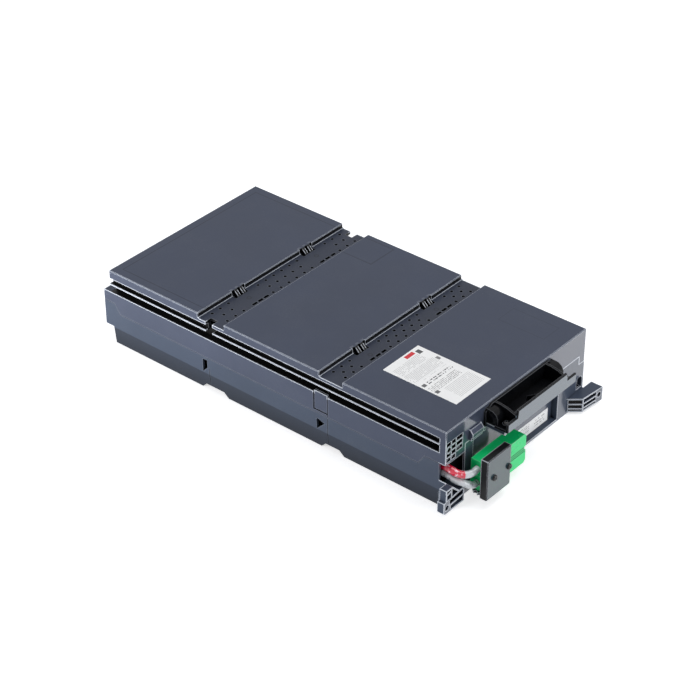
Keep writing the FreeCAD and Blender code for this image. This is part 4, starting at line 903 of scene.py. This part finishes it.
class CARTRIDGE_OT_leads(bpy.types.Operator):
    """Builds the two connector leads with their sleeves and the red marker"""

    bl_idname = "cartridge.leads"
    bl_label = "Lay the leads"

    def execute(self, context):
        for name, route, node in (
            ("lead_positive", POSITIVE, "positive_lead"),
            ("lead_negative", NEGATIVE, "negative_lead"),
        ):
            lead = as_mesh(lead_curve(name, route, sizes().lead / 2))
            hand_over(lead, "wire_insulation", "wire_insulation", node)
        radius = sizes().sleeve / 2

        def covered(route):
            return [p for p in line_of(route) if p.x > SLEEVES_START * MM and p.y < SLEEVES_STOP * MM]

        line = covered(POSITIVE)
        marked = [p for p in line if p.x + p.y < MARKER_STOP * MM]
        rest = line[len(marked):]
        for name, part, wide, folds, finish, node in (
            ("marker", marked + rest[:1], 1.04 * radius, 0.012, "red_insulation", "positive_marker"),
            ("sleeve_positive", marked[-1:] + rest, radius, 0.03, "grey_sleeve", "positive_sleeve"),
            ("sleeve_negative", covered(NEGATIVE), radius, 0.03, "grey_sleeve", "negative_sleeve"),
        ):
            hand_over(sleeve_over(name, part, wide, folds), finish, finish, node)
        return {"FINISHED"}


class CARTRIDGE_OT_case(bpy.types.Operator):
    """Builds the case with its moulded edges rounded: upper cover and lower tray"""

    bl_idname = "cartridge.case"
    bl_label = "Round the case"

    def execute(self, context):
        round_over("top_cover", sizes().edge_round, 2, "charcoal_plastic", "charcoal_plastic")
        round_over("lower_tray", sizes().edge_round, 2, "charcoal_plastic", "tray_plastic")
        return {"FINISHED"}


class CARTRIDGE_OT_handle(bpy.types.Operator):
    """Builds the handle with its rims and arms rounded"""

    bl_idname = "cartridge.handle"
    bl_label = "Round the handle"

    def execute(self, context):
        round_over("handle", 0.8 * sizes().edge_round, 3, "black_plastic", "black_plastic")
        return {"FINISHED"}


class CARTRIDGE_OT_connector(bpy.types.Operator):
    """Builds the two connector housings and their bracket with rounded edges"""

    bl_idname = "cartridge.connector"
    bl_label = "Round the connector"

    def execute(self, context):
        for node in ("connector_housing_upper", "connector_housing_lower"):
            round_over(node, 0.8 * sizes().edge_round, 3, "green_plastic", "green_plastic")
        round_over("connector_bracket", sizes().edge_round, 3, "black_plastic", "bracket_plastic")
        return {"FINISHED"}


class CARTRIDGE_OT_screws(bpy.types.Operator):
    """Builds the pan-head screws of the bracket and of the handle"""

    bl_idname = "cartridge.screws"
    bl_label = "Set the screws"

    def execute(self, context):
        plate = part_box("connector_bracket")[1].x / MM
        set_screws("bracket_pan_screws", (
            *(((plate, *spot), (1, 0, 0)) for spot in PLATE_SCREWS),
            *(((FLANGE, *spot), (1, 0, 0)) for spot in FLANGE_SCREWS),
        ), "bracket_screws")
        set_screws("handle_pan_screws", [(spot, (0, 0, 1)) for spot in HANDLE_SCREWS], "handle_screws")
        return {"FINISHED"}


# ---------------------------------------------------------------- stage
LAMPS = (  # name, place, target, size and power
    ("side_softbox", (-0.48, -0.66, 0.15), (-0.12, -0.1, 0.05), (0.45, 0.22), 6.4),
    ("front_softbox", (1.9, 0.4, 0.7), (0.1, 0.0, 0.04), (1.0, 1.0), 16.0),
    ("top_softbox", (0.3, 0.4, 2.0), (0.0, 0.0, 0.04), (1.4, 1.4), 16.0),
)
CAMERA_TARGET = (0.06029, -0.06159, 0.084)
CAMERA_TURN, CAMERA_LIFT = 39.834, 34.357  # degrees, round from the front and up from the floor
CAMERA_DISTANCE = 1.9652
CAMERA_LENS = 110.74
FLOOR_WIDTH, FLOOR_DROP = 16.0, 0.2 * MM
FLOOR_GLOW = 0.6
SURROUND_LIGHT = 0.3
WHITE = (1.0, 1.0, 1.0, 1.0)


def in_view(tree):
    """1 for what is seen straight, in a mirror or through glass, and 0 for the light that falls."""
    path = add(tree, "ShaderNodeLightPath").outputs
    return largest(tree, path["Is Camera Ray"], path["Is Glossy Ray"], path["Is Transmission Ray"])


def lay_floor():
    """A plain pale floor just under the case; it glows enough to stay pale and keeps the shadow."""
    bpy.ops.object.select_all(action="DESELECT")
    bpy.ops.mesh.primitive_plane_add(size=FLOOR_WIDTH, location=(0.0, 0.0, CAD_BOX[0].z - FLOOR_DROP))
    floor = bpy.context.object
    floor.name = "floor"
    made, tree, shader = material("studio_floor")
    output = shader.outputs[0].links[0].to_node
    shader.inputs["Base Color"].default_value = (*colours().floor, 1.0)
    shader.inputs["Roughness"].default_value = 0.9
    shader.inputs["Specular IOR Level"].default_value = 0.0
    strength = product(tree, in_view(tree), FLOOR_GLOW)
    glow = add(tree, "ShaderNodeEmission", {"Color": WHITE, "Strength": strength})
    both = add(tree, "ShaderNodeAddShader", {0: shader.outputs[0], 1: glow.outputs[0]})
    tree.links.new(both.outputs[0], output.inputs["Surface"])
    floor.data.materials.append(made)


def set_lamps(scene):
    """An even pale surround and three soft lamps."""
    world = bpy.data.worlds.new("studio")
    world.use_nodes = True
    scene.world = world
    tree = world.node_tree
    tree.nodes.clear()
    strength = mapped(tree, in_view(tree), 0.0, 1.0, SURROUND_LIGHT, 1.0)
    back = add(tree, "ShaderNodeBackground", {"Color": WHITE, "Strength": strength})
    output = tree.nodes.new("ShaderNodeOutputWorld")
    tree.links.new(back.outputs[0], output.inputs["Surface"])
    for name, place, target, wide, power in LAMPS:
        lamp = bpy.data.lights.new(name, "AREA")
        lamp.shape = "RECTANGLE"
        lamp.size, lamp.size_y = wide
        lamp.energy = power
        holder = bpy.data.objects.new(name, lamp)
        scene.collection.objects.link(holder)
        holder.visible_camera = False
        holder.location = place
        holder.rotation_euler = (Vector(target) - Vector(place)).to_track_quat("-Z", "Y").to_euler()


def aim_camera(scene):
    lens = bpy.data.cameras.new("camera")
    lens.lens = CAMERA_LENS
    lens.sensor_width = 36.0
    lens.clip_start, lens.clip_end = 0.05, 40.0
    camera = bpy.data.objects.new("camera", lens)
    scene.collection.objects.link(camera)
    turn, lift = math.radians(CAMERA_TURN), math.radians(CAMERA_LIFT)
    back = Vector((math.sin(turn) * math.cos(lift), -math.cos(turn) * math.cos(lift), math.sin(lift)))
    camera.location = Vector(CAMERA_TARGET) + back * CAMERA_DISTANCE
    camera.rotation_euler = (-back).to_track_quat("-Z", "Y").to_euler()
    scene.camera = camera


class CARTRIDGE_OT_stage(bpy.types.Operator):
    """Sets the pale floor, the soft lamps and the camera"""

    bl_idname = "cartridge.stage"
    bl_label = "Set the stage"

    def execute(self, context):
        scene = context.scene
        scene.view_settings.view_transform = "Standard"
        lay_floor()
        set_lamps(scene)
        aim_camera(scene)
        return {"FINISHED"}


class CARTRIDGE_PT_panel(bpy.types.Panel):
    """Lists the steps that finish the cartridge"""

    bl_label = "Battery cartridge"
    bl_idname = "CARTRIDGE_PT_panel"
    bl_space_type = "VIEW_3D"
    bl_region_type = "UI"
    bl_category = "Cartridge"

    def draw(self, context):
        for step in STEPS:
            self.layout.operator(step.bl_idname)
        for values in (context.scene.cartridge_sizes, context.scene.cartridge_colours):
            box = self.layout.box()
            for name in type(values).__annotations__:
                box.prop(values, name)


STEPS = (
    CARTRIDGE_OT_surfaces,
    CARTRIDGE_OT_leads,
    CARTRIDGE_OT_case,
    CARTRIDGE_OT_handle,
    CARTRIDGE_OT_connector,
    CARTRIDGE_OT_screws,
    CARTRIDGE_OT_stage,
)
CLASSES = (CartridgeColours, CartridgeSizes, *STEPS, CARTRIDGE_PT_panel)


def register():
    for kind in CLASSES:
        bpy.utils.register_class(kind)
    bpy.types.Scene.cartridge_colours = PointerProperty(type=CartridgeColours)
    bpy.types.Scene.cartridge_sizes = PointerProperty(type=CartridgeSizes)


def unregister():
    del bpy.types.Scene.cartridge_sizes
    del bpy.types.Scene.cartridge_colours
    for kind in reversed(CLASSES):
        bpy.utils.unregister_class(kind)


def main():
    register()
    bpy.ops.cartridge.surfaces()
    bpy.ops.cartridge.leads()
    bpy.ops.cartridge.case()
    bpy.ops.cartridge.handle()
    bpy.ops.cartridge.connector()
    bpy.ops.cartridge.screws()
    bpy.ops.cartridge.stage()


if __name__ == "__main__":
    main()
